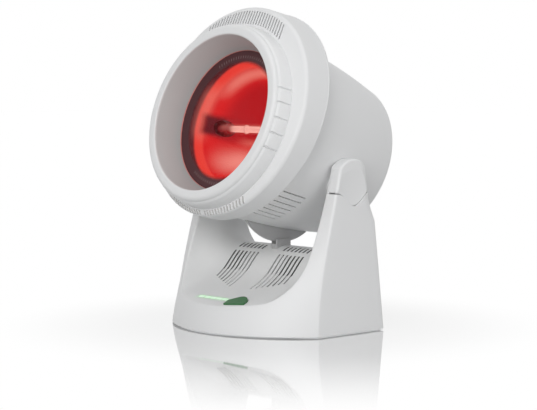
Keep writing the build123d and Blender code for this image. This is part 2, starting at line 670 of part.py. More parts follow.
# ---- pivot -------------------------------------------------------------------------------------
def thrust_washer():
    outer = ARM_INNER_X
    bore = rod(AXLE_R + SEAT, outer - 2 * WASHER, outer + WASHER)
    return PIVOT * (rod(BUSH_FLANGE_R, outer - WASHER, outer) - bore)


def pivot_bush():
    plate = ARM_INNER_X + WALL
    bush = rod(BUSH_R, ARM_INNER_X, plate) + rod(BUSH_FLANGE_R, plate, plate + BUSH_FLANGE)
    return PIVOT * (bush - rod(AXLE_R + RUN_FIT, ARM_INNER_X - WALL, plate + 2 * BUSH_FLANGE))


def spring_washer():
    start = ARM_INNER_X + WALL + BUSH_FLANGE + SEAM
    bore = rod(AXLE_R + SEAT, start - WASHER, start + 2 * WASHER)
    return PIVOT * (rod(SPRING_WASHER_R, start, start + WASHER) - bore)


def pivot_nut():
    start = ARM_INNER_X + WALL + BUSH_FLANGE + SEAM + WASHER
    hexagon = Pos(start, 0, 0) * Rot(0, 90, 0) * extrude(RegularPolygon(NUT_R, 6), NUT_THICK)
    return PIVOT * (hexagon - rod(AXLE_R + SEAT, start - NUT_THICK, start + 2 * NUT_THICK))


def pivot_axle():
    end = ARM_INNER_X + WALL + BUSH_FLANGE + SEAM + WASHER + NUT_THICK
    axle = rod(AXLE_R, AXLE_INNER_X, end)
    head = rod(AXLE_HEAD_R, AXLE_INNER_X - AXLE_HEAD, AXLE_INNER_X)
    return PIVOT * (axle + head)


# ---- head --------------------------------------------------------------------------------------
def front_collar():
    """The front ring: rounded rim, gripped band and the funnel down to the glass."""
    body = turned([
        (FUNNEL_REAR_R, GLASS_FRONT_S), (OPENING_R, OPENING_S), (RIM_R, OPENING_S),
        (RIM_R, RIM_REAR_S), (BAND_FRONT_R, RIM_REAR_S), (BAND_REAR_R, BAND_REAR_S),
        (COLLAR_PLUG_R, BAND_REAR_S), (COLLAR_PLUG_R, BAND_REAR_S - COLLAR_PLUG),
        (COLLAR_PLUG_R - WALL, BAND_REAR_S - COLLAR_PLUG), (COLLAR_PLUG_R - WALL, OPENING_S - 2 * WALL),
        (OPENING_R + WALL, OPENING_S - 2 * WALL), (FUNNEL_REAR_R + FUNNEL_REAR_WALL, GLASS_FRONT_S)])
    rings = body.edges().filter_by(GeomType.CIRCLE).group_by(Axis.Z)[-1].sort_by(SortBy.RADIUS)
    body = fillet(rings[-1], RIM_FILLET)
    rings = body.edges().filter_by(GeomType.CIRCLE).group_by(Axis.Z)[-1].sort_by(SortBy.RADIUS)
    body = fillet(rings[0], OPENING_FILLET)
    notches = []
    for angle in GRIP_ANGLES:
        notch = slab((BAND_FRONT_R - GRIP_DEPTH, BAND_REAR_R + BEYOND), (-GRIP_WIDTH / 2, GRIP_WIDTH / 2),
                     (BAND_REAR_S - BEYOND, RIM_REAR_S))
        right = Rot(0, 0, angle) * notch
        notches += [right, mirror(right, Plane.YZ)]
    return body - Compound(notches)


def flange_form(inset=0.0):
    """The wide ring behind the collar: slanted rear circle, front circle and shoulder."""
    rear = FLANGE * Pos(0, FLANGE_REAR_RISE, 0) * Circle(FLANGE_REAR_R - inset)
    front_s = FLANGE_FRONT_S - inset * FLANGE_WALL_SHARE
    front = Pos(0, FLANGE_FRONT_RISE, front_s) * Circle(FLANGE_FRONT_R - inset)
    shoulder = Pos(0, 0, BAND_REAR_S - inset) * Circle(SHOULDER_R)
    form = loft([rear, front, shoulder], ruled=True)
    if inset:
        return form
    edge = min(form.edges().filter_by(GeomType.CIRCLE), key=lambda e: abs(e.center().Z - FLANGE_FRONT_S))
    return fillet(edge, FLANGE_EDGE_R)


def shoulder_vents():
    """Slots through the flange's shoulder, above and below the collar."""
    half = HEAD_VENT_WIDTH / 2
    slots = []
    for i in range(-HEAD_VENT_SIDE_COUNT, HEAD_VENT_SIDE_COUNT + 1):
        x = i * HEAD_VENT_PITCH
        inner = math.sqrt(SHOULDER_R ** 2 - x ** 2)
        outer = math.sqrt((FLANGE_FRONT_R - FLANGE_EDGE_R) ** 2 - x ** 2)
        slots.append(slab((x - half, x + half), (inner + HEAD_VENT_START, FLANGE_FRONT_RISE + outer),
                          HEAD_VENT_S))
        if abs(i) > 0:
            low = FLANGE_FRONT_RISE - math.sqrt((FLANGE_FRONT_R - HEAD_VENT_LOW_LIP) ** 2 - x ** 2)
            slots.append(slab((x - half, x + half), (low, -inner - HEAD_VENT_LOW_START), HEAD_VENT_LOW_S))
    return slots


def screw_spots():
    """Places of the housing screws in the slanted joint plane."""
    for angle in HOUSING_SCREW_ANGLES:
        turn = math.radians(angle)
        yield (HOUSING_SCREW_R * math.cos(turn), FLANGE_REAR_RISE + HOUSING_SCREW_R * math.sin(turn))


def front_housing():
    """The flange ring with its vented shoulder and screw bosses."""
    form = flange_form()
    body = form - flange_form(WALL)
    reach = 2 * FLANGE_REAR_R
    behind = FLANGE * Pos(0, 0, WALL - reach / 2) * Box(2 * reach, 2 * reach, reach)
    for x, y in screw_spots():
        body += (FLANGE * Pos(x, y, 0) * Cylinder(BOSS_SMALL_R, reach)) & form
        body -= FLANGE * Pos(x, y, WALL) * Cylinder(SCREW_HOLE_R, 2 * (SCREW_LENGTH + BEYOND))
    body -= disc(COLLAR_PLUG_R + SEAT, FLANGE_REAR_S, OPENING_S)
    body -= Compound(shoulder_vents())
    return body - behind


def tub_form(inset=0.0, front=TUB_FRONT_S):
    """The rear housing's turned form."""
    wide, waist, narrow = TUB_FRONT_R - inset, TUB_MIDDLE[0] - inset, TUB_REAR_R - inset
    rear, bend = TUB_REAR_S + inset, TUB_REAR_FILLET - inset
    knee = narrow - bend
    half = math.sqrt(0.5) * bend
    edges = [
        Line((0, front), (wide, front)),
        Line((wide, front), (wide, TUB_STRAIGHT_S)),
        ThreePointArc((wide, TUB_STRAIGHT_S), (waist, TUB_MIDDLE[1]), (narrow, rear + bend)),
        ThreePointArc((narrow, rear + bend), (knee + half, rear + bend - half), (knee, rear)),
        Line((knee, rear), (0, rear)),
        Line((0, rear), (0, front)),
    ]
    return Pos(0, TUB_RISE, 0) * revolve(Plane.XZ * make_face(edges), Axis.Z, 360)


def rear_housing():
    """The tub-shaped rear housing with its joint flange, pivot bosses and vents."""
    plate = FLANGE * Pos(0, FLANGE_REAR_RISE, WALL / 2) * Cylinder(FLANGE_REAR_R, WALL)
    plate = fillet(plate.edges().filter_by(GeomType.CIRCLE).sort_by(Axis.Z)[0], JOINT_EDGE_R)
    bosses = [Pos(0, PIVOT_H, 0) * rod(BOSS_R, side * BOSS_INNER_X, side * BOSS_OUTER_X) for side in (-1, 1)]
    body = tub_form() + plate + bosses
    body -= tub_form(WALL, TUB_FRONT_S + BEYOND) - bosses
    body -= Pos(0, PIVOT_H, 0) * rod(AXLE_R + SEAT, -ARM_INNER_X, ARM_INNER_X)
    for x, y in screw_spots():
        body -= FLANGE * Pos(x, y, 0) * Cylinder(SCREW_R + SEAT, 4 * WALL)
        body -= FLANGE * Pos(x, y, SMALL_HEAD - WALL) * Cylinder(SMALL_HEAD_R + SEAT, 2 * WALL)
    return body - Compound(side_vents() + rear_slots())


def side_vents():
    """Cutters of the slots low on both flanks of the rear housing."""
    half, slots = SIDE_VENT_WIDTH / 2, []
    for angle in SIDE_VENT_ANGLES:
        slot = slab((TUB_FRONT_R - 4 * WALL, TUB_FRONT_R + BEYOND), (-half, half), SIDE_VENT_S)
        slots += both_sides(Pos(0, TUB_RISE, 0) * Rot(0, 0, angle) * slot)
    return slots


def rear_slots():
    """Cutters of the fan's slots, which fill a circle in the rear wall."""
    half, slots = REAR_SLOT_WIDTH / 2, []
    for i in range(REAR_SLOT_COUNT):
        rise = (i - (REAR_SLOT_COUNT - 1) / 2) * REAR_SLOT_PITCH
        reach = math.sqrt(REAR_GRILLE_R ** 2 - rise ** 2)
        slots.append(slab((-reach, reach), (TUB_RISE + rise - half, TUB_RISE + rise + half),
                          (TUB_REAR_S - BEYOND, TUB_REAR_S + WALL + SEAT)))
    return slots


def housing_screws():
    parts = []
    for x, y in screw_spots():
        head = Pos(x, y, SMALL_HEAD / 2) * Cylinder(SMALL_HEAD_R, SMALL_HEAD)
        shank = Pos(x, y, SCREW_LENGTH / 2) * Cylinder(SCREW_R, SCREW_LENGTH)
        parts.append(FLANGE * (head + shank - Pos(x, y, 0) * Cylinder(RECESS_R, 2 * RECESS)))
    return Compound(parts)


def tilt_quadrant():
    """The thin quadrant under the head that runs in the guide post."""
    plate = PIVOT * rod(QUADRANT_R, -QUADRANT_THICK / 2, QUADRANT_THICK / 2)
    reach = 2 * QUADRANT_R
    front, rear = math.radians(QUADRANT_FRONT), math.radians(QUADRANT_REAR)
    sector = make_face(Polyline(
        (0, PIVOT_Y, PIVOT_Z), (0, PIVOT_Y - reach * math.sin(front), PIVOT_Z - reach * math.cos(front)),
        (0, PIVOT_Y, PIVOT_Z - reach),
        (0, PIVOT_Y + reach * math.sin(rear), PIVOT_Z - reach * math.cos(rear)), close=True))
    plate &= extrude(sector, QUADRANT_THICK, dir=(1, 0, 0), both=True)
    return plate - HEAD * tub_form()


def glass_filter():
    glass = disc(GLASS_R, GLASS_FRONT_S - GLASS_THICK, GLASS_FRONT_S)
    return chamfer(glass.edges(), GLASS_EDGE)


def glass_gasket():
    rear = GLASS_FRONT_S - GLASS_THICK
    bore = disc(GLASS_R - GASKET_WIDTH, rear - 2 * GASKET_THICK, rear + GASKET_THICK)
    return disc(GLASS_R, rear - GASKET_THICK, rear) - bore


def bowl_curve(radius, rim_s):
    """Half of a parabola from the bowl's bottom to its rim."""
    slope = 2 * REFLECTOR_DEPTH / radius
    stations = [(radius * k, rim_s - REFLECTOR_DEPTH * (1 - k * k)) for k in (0.0, 0.25, 0.5, 0.75, 1.0)]
    return Spline(*stations, tangents=((1, 0), (1, slope)))


def reflector():
    """A parabolic bowl with a flat flange, open at both sides for the lamp tube."""
    rim_s = TUB_FRONT_S + 2 * SHEET
    inner = bowl_curve(REFLECTOR_R, rim_s)
    outer = bowl_curve(REFLECTOR_R + SHEET / 2, rim_s - SHEET)
    edges = [
        *inner.edges(), *outer.edges(),
        Line(inner @ 1, (REFLECTOR_FLANGE_R, rim_s)),
        Line((REFLECTOR_FLANGE_R, rim_s), (REFLECTOR_FLANGE_R, rim_s - SHEET)),
        Line((REFLECTOR_FLANGE_R, rim_s - SHEET), outer @ 1),
        Line(outer @ 0, inner @ 0),
    ]
    bowl = revolve(Plane.XZ * make_face(edges), Axis.Z, 360)
    return bowl - Pos(0, 0, LAMP_S) * rod(LAMP_GATE_R, -REFLECTOR_FLANGE_R, REFLECTOR_FLANGE_R)


def lamp_tube():
    body = rod(TUBE_R, -TUBE_HALF, TUBE_HALF)
    return Pos(0, 0, LAMP_S) * (body - rod(TUBE_R - TUBE_WALL, -ELEMENT_HALF, ELEMENT_HALF))


def heating_element():
    """The tungsten element, held on its support discs."""
    half = ELEMENT_SUPPORT / 2
    body = rod(ELEMENT_R, -ELEMENT_HALF, ELEMENT_HALF)
    body += [rod(TUBE_R - TUBE_WALL - SEAT, x - half, x + half) for x in ELEMENT_SUPPORTS]
    return Pos(0, 0, LAMP_S) * body


def lamp_socket():
    """The right ceramic socket, bored for the end of the tube."""
    length, height, depth = SOCKET_SIZE
    block = Pos(SOCKET_INNER_X + length / 2, 0, LAMP_S) * Box(length, height, depth)
    block = chamfer(block.edges().filter_by(Axis.X), SOCKET_EDGE)
    return block - Pos(0, 0, LAMP_S) * rod(TUBE_R + SEAT, SOCKET_INNER_X - BEYOND, TUBE_HALF)


def socket_brackets():
    low = SHIELD_FLOOR_S + SHEET
    high = LAMP_S - SOCKET_SIZE[2] / 2
    x = SOCKET_INNER_X + SOCKET_SIZE[0] / 2
    across = (-BRACKET_WIDTH / 2, BRACKET_WIDTH / 2)
    plate = slab((x - SHEET, x + SHEET), across, (low, high))
    foot = slab((x - BRACKET_FOOT, x + SHEET), across, (low, low + SHEET))
    return Compound(list(both_sides(plate + foot)))


def heat_shield():
    """A steel cup round the reflector, seated on the rear housing's front edge."""
    rim = TUB_FRONT_S
    cup = turned([(0, SHIELD_FLOOR_S), (SHIELD_R, SHIELD_FLOOR_S), (SHIELD_R, rim), (SHIELD_FLANGE_R, rim),
                  (SHIELD_FLANGE_R, rim + SHEET), (SHIELD_R - SHEET, rim + SHEET),
                  (SHIELD_R - SHEET, SHIELD_FLOOR_S + SHEET), (0, SHIELD_FLOOR_S + SHEET)])
    hole = Pos(SHIELD_HOLE_RING_R, 0, SHIELD_FLOOR_S) * Cylinder(SHIELD_HOLE_R, 4 * SHEET)
    turn = 360 / SHIELD_HOLES
    return cup - Compound([Rot(0, 0, turn * (i + 0.5)) * hole for i in range(SHIELD_HOLES)])


def thermal_cutout():
    """The overheat switch on the back of the shield, with its strap and two tabs."""
    seat = Pos(0, CUTOUT_RISE, SHIELD_FLOOR_S)
    body = seat * Pos(0, 0, -CUTOUT_THICK / 2) * Cylinder(CUTOUT_R, CUTOUT_THICK)
    body += seat * Pos(0, 0, -CUTOUT_STRAP[2] / 2) * Box(*CUTOUT_STRAP)
    tab_s = -CUTOUT_THICK - CUTOUT_TAB[2] / 2 + SHEET / 2
    return body + [seat * Pos(x, 0, tab_s) * Box(*CUTOUT_TAB) for x in (-CUTOUT_TAB_X, CUTOUT_TAB_X)]


def fan_frame():
    """The fan's square frame, with struts to its shaft bearing."""
    rear = TUB_REAR_S + WALL
    frame = Pos(0, TUB_RISE, rear + FAN_THICK / 2) * Box(FAN_SIZE, FAN_SIZE, FAN_THICK)
    frame = fillet(frame.edges().filter_by(Axis.Z), FAN_CORNER_R)
    frame -= disc(FAN_BORE_R, rear - BEYOND, rear + FAN_THICK + BEYOND, TUB_RISE)
    frame += disc(FAN_HUB_R, rear, rear + FAN_STRUT, TUB_RISE)
    arm = Pos(FAN_BORE_R / 2 + BEYOND, 0, rear + FAN_STRUT / 2) * Box(FAN_BORE_R, FAN_STRUT, FAN_STRUT)
    frame += [Pos(0, TUB_RISE, 0) * Rot(0, 0, 90 + 360 / FAN_STRUTS * i) * arm for i in range(FAN_STRUTS)]
    frame -= disc(FAN_SHAFT_R + RUN_FIT, rear - BEYOND, rear + FAN_STRUT + BEYOND, TUB_RISE)
    return frame - Compound(fan_screw_rods(SCREW_R + SEAT, rear - BEYOND, rear + FAN_THICK + BEYOND))


def fan_screw_rods(radius, low, high):
    half = FAN_SCREW / 2
    return [Pos(x, TUB_RISE + y, (low + high) / 2) * Cylinder(radius, high - low)
            for x in (-half, half) for y in (-half, half)]


def fan_screws():
    front = TUB_REAR_S + WALL + FAN_THICK
    heads = fan_screw_rods(SMALL_HEAD_R, front, front + SMALL_HEAD)
    shanks = fan_screw_rods(SCREW_R, front - FAN_THICK, front + SMALL_HEAD)
    return Compound([h + s for h, s in zip(heads, shanks)])


def fan_rotor():
    """The fan's hub, its pitched blades and shaft."""
    rear = TUB_REAR_S + WALL + FAN_STRUT + SEAM
    front = TUB_REAR_S + WALL + FAN_THICK - FAN_HUB_EDGE
    rotor = fillet(disc(FAN_HUB_R, rear, front).edges().sort_by(Axis.Z)[-1], FAN_HUB_EDGE)
    span = FAN_BLADE_R - FAN_HUB_R + 2 * BEYOND
    blade = Pos(FAN_HUB_R - BEYOND + span / 2, 0, (rear + front) / 2) * Rot(FAN_BLADE_PITCH, 0, 0)
    blade *= Box(span, FAN_CHORD, FAN_BLADE)
    rotor += [Rot(0, 0, 360 / FAN_BLADES * i) * blade for i in range(FAN_BLADES)]
    rotor &= disc(FAN_BLADE_R, rear, front)
    rotor += disc(FAN_SHAFT_R, rear - FAN_STRUT, rear + BEYOND)
    return Pos(0, TUB_RISE, 0) * rotor


# ---- assembly ----------------------------------------------------------------------------------
def base_parts():
    right = {"arm_cap": arm_cap(), "thrust_washer": thrust_washer(), "pivot_bush": pivot_bush()}
    yield "base_shell", base_shell()
    yield "base_plate", base_plate()
    yield "base_screws", base_screws()
    yield "rubber_feet", rubber_feet()
    yield "guide_post", guide_post()
    yield "brake_pads", brake_pads()
    yield "button", button()
    yield "light_guide", light_guide()
    yield "indicator_leds", indicator_leds()
    yield "control_board", control_board()
    yield "board_screws", board_screws()
    yield "push_switch", push_switch()
    yield "power_board", power_board()
    yield "relay", relay()
    yield "capacitor", capacitor()
    yield "terminal_block", terminal_block()
    yield "cord_gland", cord_gland()
    for name, part in right.items():
        for side, copy in zip(("right", "left"), both_sides(part)):
            yield f"{name}_{side}", copy


def head_parts():
    right = {"pivot_axle": pivot_axle(), "spring_washer": spring_washer(), "pivot_nut": pivot_nut()}
    for name, part in right.items():
        for side, copy in zip(("right", "left"), both_sides(part)):
            yield f"{name}_{side}", copy
    yield "tilt_quadrant", tilt_quadrant()
    turned_parts = {
        "front_collar": front_collar, "front_housing": front_housing, "rear_housing": rear_housing,
        "housing_screws": housing_screws, "glass_filter": glass_filter, "glass_gasket": glass_gasket,
        "reflector": reflector, "lamp_tube": lamp_tube, "heating_element": heating_element,
        "socket_brackets": socket_brackets, "heat_shield": heat_shield, "thermal_cutout": thermal_cutout,
        "fan_frame": fan_frame, "fan_screws": fan_screws, "fan_rotor": fan_rotor,
    }
    for name, make in turned_parts.items():
        yield name, HEAD * make()
    for side, copy in zip(("right", "left"), both_sides(HEAD * lamp_socket())):
        yield f"lamp_socket_{side}", copy


def main():
    os.makedirs("parts", exist_ok=True)
    for name, part in [*base_parts(), *head_parts()]:
        part = Pos(0, -ORIGIN_SHIFT_Y, 0) * part
        box = part.bounding_box()
        print(f"{name:22s} {box.min.X:7.1f} {box.min.Y:7.1f} {box.min.Z:7.1f}"
              f" {box.max.X:7.1f} {box.max.Y:7.1f} {box.max.Z:7.1f}")
        export_step(part, f"parts/{name}.step")


if __name__ == "__main__":
    main()
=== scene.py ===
"""Looks of a table-top infrared heat lamp: base, tilting head, lamp, finishes, studio and camera."""

import json
import logging
import math
from contextlib import contextmanager
from dataclasses import dataclass, field
from enum import Enum
from functools import cached_property
from typing import Any, Iterator, Optional, Sequence, Union

import bpy
from mathutils import Matrix, Vector


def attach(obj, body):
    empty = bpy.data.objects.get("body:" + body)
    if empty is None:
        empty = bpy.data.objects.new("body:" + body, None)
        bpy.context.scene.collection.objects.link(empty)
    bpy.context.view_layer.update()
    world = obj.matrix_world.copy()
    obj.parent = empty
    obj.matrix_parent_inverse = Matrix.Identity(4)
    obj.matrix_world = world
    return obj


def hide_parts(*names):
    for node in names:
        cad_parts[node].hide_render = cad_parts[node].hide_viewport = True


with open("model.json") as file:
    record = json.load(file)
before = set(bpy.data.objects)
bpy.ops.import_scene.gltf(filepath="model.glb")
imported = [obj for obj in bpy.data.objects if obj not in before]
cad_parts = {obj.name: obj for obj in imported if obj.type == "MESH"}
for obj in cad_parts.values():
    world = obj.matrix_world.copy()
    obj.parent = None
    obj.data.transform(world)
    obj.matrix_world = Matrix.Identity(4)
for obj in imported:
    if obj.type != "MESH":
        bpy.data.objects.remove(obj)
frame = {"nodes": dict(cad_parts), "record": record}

LOG = logging.getLogger("heat_lamp")
RECESS = "recess"
Number = Union[int, float, "Value"]
Colour = tuple[float, float, float]
Piece = bpy.types.Object
Socket = bpy.types.NodeSocket
# a pair of sizes, such as a change's ends; a zone's ends and the width of its soft edge
Span = tuple[float, float]
Zone = tuple[float, float, float]

MM = 0.001
PIVOT = Vector((0.0, 0.010, 0.1295))
HEAD_RISE = 0.0325
HEAD_TURN = math.radians(90.0 - 17.4)
# the head's own frame: X to the side, Y up across its face, Z forward along its centre line
HEAD = (Matrix.Translation(PIVOT) @ Matrix.Rotation(HEAD_TURN, 4, "X")
        @ Matrix.Translation((0.0, HEAD_RISE, 0.0)))
# lays a turned piece's own Z along X
ACROSS = Matrix.Rotation(math.pi / 2, 4, "Y")


def srgb(red: int, green: int, blue: int) -> Colour:
    """A screen colour of 0 to 255 as the linear colour that shaders take.

    Args:
        red: Red on the screen.
        green: Green on the screen.
        blue: Blue on the screen.

    Returns:
        The linear red, green and blue.
    """
    def linear(part: int) -> float:
        """One channel as linear light."""
        share = part / 255.0
        return share / 12.92 if share <= 0.04045 else ((share + 0.055) / 1.055) ** 2.4
    return linear(red), linear(green), linear(blue)


# ---- shader maths ----
@dataclass(frozen=True)
class Value:
    """A number socket of a shader, with Python's operators standing for Math nodes."""

    shader: "Shader"
    socket: Socket

    def _math(self, operation: str, *others: Number, first: Optional[Number] = None) -> "Value":
        """Adds a Math node.

        Args:
            operation: The node's operation.
            others: The values after the first.
            first: The first value, where it isn't this one.

        Returns:
            The node's result.
        """
        values = [self if first is None else first, *others]
        node = self.shader.node("ShaderNodeMath", dict(enumerate(values)), operation=operation)
        return Value(self.shader, node.outputs[0])

    def __add__(self, other: Number) -> "Value":
        """This plus the other."""
        return self._math("ADD", other)

    __radd__ = __add__

    def __sub__(self, other: Number) -> "Value":
        """This minus the other."""
        return self._math("SUBTRACT", other)

    def __rsub__(self, other: Number) -> "Value":
        """The other minus this."""
        return self._math("SUBTRACT", self, first=other)

    def __mul__(self, other: Number) -> "Value":
        """This times the other."""
        return self._math("MULTIPLY", other)

    __rmul__ = __mul__

    def __truediv__(self, other: Number) -> "Value":
        """This divided by the other."""
        return self._math("DIVIDE", other)

    def __pow__(self, other: Number) -> "Value":
        """This to the power of the other."""
        return self._math("POWER", other)

    def diagonal(self, other: "Value") -> "Value":
        """The diagonal over this and the other as sides."""
        return (self ** 2.0 + other ** 2.0)._math("SQRT")

    def size(self) -> "Value":
        """The value without its sign."""
        return self._math("ABSOLUTE")

    def wrapped(self, period: float) -> "Value":
        """The distance from the nearest multiple of the period."""
        return self._math("PINGPONG", period / 2)

    def least(self, other: Number) -> "Value":
        """The smaller of the two."""
        return self._math("MINIMUM", other)

    def most(self, other: Number) -> "Value":
        """The larger of the two."""
        return self._math("MAXIMUM", other)

    def rises(self, start: float, end: float) -> "Value":
        """A smooth step that goes from 0 at start to 1 at end, and falls where end is the smaller.

        Args:
            start: The value at which the step is 0.
            end: The value at which it is 1.

        Returns:
            The step, from 0 to 1.
        """
        low, high = (0.0, 1.0) if start < end else (1.0, 0.0)
        node = self.shader.node("ShaderNodeMapRange", {
            "Value": self, "From Min": min(start, end), "From Max": max(start, end),
            "To Min": low, "To Max": high}, interpolation_type="SMOOTHSTEP")
        return Value(self.shader, node.outputs["Result"])

    def bump(self, centre: Number, width: float) -> "Value":
        """A smooth hill of height 1 at the centre that is gone at a width to either side."""
        return (self - centre).size().rises(width, 0.0)

    def within(self, low: float, high: float, edge: float) -> "Value":
        """1 between low and high, with soft edges that reach outwards."""
        return self.rises(low - edge, low) * self.rises(high + edge, high)


class Shader:
    """A material built by code: its one Principled shader and the nodes that feed it."""

    def __init__(self, name: str) -> None:
        """Starts a material with a Principled shader.

        Args:
            name: The material's name.
        """
        self.material = bpy.data.materials.new(name)
        self.material.use_nodes = True
        self.tree = self.material.node_tree
        self.surface = self.tree.nodes["Principled BSDF"]

    def node(self, kind: str, inputs: Optional[dict[Any, Any]] = None, **settings: Any) -> bpy.types.Node:
        """Adds a node.

        Args:
            kind: Its type.
            inputs: Values or links of its sockets, by name or number.
            settings: Attributes that are set first; stops sets a ramp's (place, colour) stops.

        Returns:
            The node.
        """
        made = self.tree.nodes.new(kind)
        for key, setting in settings.items():
            if key == "stops":
                ramp = made.color_ramp
                while len(ramp.elements) < len(setting):
                    ramp.elements.new(0.5)
                for element, (place, colour) in zip(ramp.elements, setting):
                    element.position = place
                    element.color = (*colour, 1.0)
            else:
                setattr(made, key, setting)
        for key, value in (inputs or {}).items():
            self.feed(made.inputs[key], value)
        return made

    def feed(self, socket: Socket, value: Any) -> None:
        """Gives a socket a link or a fixed value.

        Args:
            socket: The input.
            value: A Value, an output socket, a number or a colour.
        """
        if isinstance(value, Value):
            self.tree.links.new(value.socket, socket)
        elif isinstance(value, Socket):
            self.tree.links.new(value, socket)
        elif isinstance(value, tuple) and len(value) == 3 and socket.type == "RGBA":
            socket.default_value = (*value, 1.0)
        else:
            socket.default_value = value

    def set(self, **inputs: Any) -> None:
        """Sets the Principled shader's inputs, with _ for a space in their names."""
        for key, value in inputs.items():
            self.feed(self.surface.inputs[key.replace("_", " ")], value)

    def place(self, turned: Optional[Matrix] = None) -> Socket:
        """The point on the object, in metres.

        Args:
            turned: A frame whose own coordinates are wanted instead of the object's.

        Returns:
            The coordinates' socket.
        """
        point = self.node("ShaderNodeTexCoord").outputs["Object"]
        if turned is None:
            return point
        back = turned.inverted()
        mapping = self.node("ShaderNodeMapping", {
            "Vector": point, "Location": tuple(back.to_translation()), "Rotation": tuple(back.to_euler())})
        return mapping.outputs["Vector"]

    def parts(self, vector: Socket) -> tuple[Value, ...]:
        """The X, Y and Z of a vector."""
        node = self.node("ShaderNodeSeparateXYZ", {0: vector})
        return tuple(Value(self, part) for part in node.outputs)

    def millimetres(self, turned: Optional[Matrix] = None) -> tuple[Value, ...]:
        """The X, Y and Z of the point in millimetres, in a frame if one is given."""
        return tuple(part * 1000.0 for part in self.parts(self.place(turned)))

    def noise(self, scale: float, detail: float = 3.0, vector: Optional[Socket] = None) -> Value:
        """Noise from 0 to 1.

        Args:
            scale: Cells in a metre.
            detail: Octaves.
            vector: Where it is read, if not at the plain place.

        Returns:
            The noise.
        """
        node = self.node("ShaderNodeTexNoise", {
            "Vector": vector or self.place(), "Scale": scale, "Detail": detail})
        return Value(self, node.outputs[0])

    def mix(self, share: Number, low: Any, high: Any) -> Socket:
        """A colour that goes from low to high as the share goes from 0 to 1."""
        return self.node("ShaderNodeMix", {0: share, 6: low, 7: high}, data_type="RGBA").outputs[2]

    def ramp(self, share: Number, stops: Sequence[tuple[float, Colour]]) -> Socket:
        """A colour read from a ramp with smooth steps between its stops."""
        node = self.node("ShaderNodeValToRGB", {"Fac": share}, stops=stops)
        node.color_ramp.interpolation = "EASE"
        return node.outputs["Color"]

    def relief(self, height: Number, depth: float, strength: float) -> None:
        """Bends the normals as a relief would.

        Args:
            height: The relief, from 0 to 1.
            depth: Its depth in metres.
            strength: How strongly it shows.
        """
        bump = self.node("ShaderNodeBump", {"Height": height, "Distance": depth, "Strength": strength})
        self.set(Normal=bump.outputs["Normal"])


# ---- finishes ----
def scaled(colour: Colour, share: float) -> Colour:
    """A colour made darker or lighter by a factor."""
    return tuple(part * share for part in colour)


@dataclass(frozen=True)
class Finish:
    """A finish, which builds its own material."""

    def build(self, name: str) -> bpy.types.Material:
        """Makes the material.

        Args:
            name: The material's name.

        Returns:
            The material.
        """
        shader = Shader(name)
        self.paint(shader)
        return shader.material

    def paint(self, shader: Shader) -> None:
        """Gives a shader its nodes and values.

        Args:
            shader: The material's shader.
        """
        raise NotImplementedError


@dataclass(frozen=True)
class MouldedPlastic(Finish):
    """Moulded plastic with a fine spark-eroded grain."""

    colour: Colour
    roughness: float = 0.42
    grain: float = 2400.0
    grain_depth: float = 0.00002
    grain_strength: float = 0.35
    shade: float = 0.03
    clouds: float = 9.0
    patches: float = 60.0
    patch_depth: float = 0.08
    coat: float = 0.0

    def skin(self, shader: Shader) -> Socket:
        """Sets the uneven roughness and the grain.

        Args:
            shader: The material's shader.

        Returns:
            The clouded colour.
        """
        shader.set(Roughness=self.roughness + (shader.noise(self.patches, 4.0) - 0.5) * self.patch_depth)
        shader.relief(shader.noise(self.grain, 2.0), self.grain_depth, self.grain_strength)
        return shader.mix(shader.noise(self.clouds, 2.0), scaled(self.colour, 1.0 - self.shade), self.colour)

    def paint(self, shader: Shader) -> None:
        """Gives the shader the plain skin."""
        shader.set(Base_Color=self.skin(shader), Coat_Weight=self.coat)


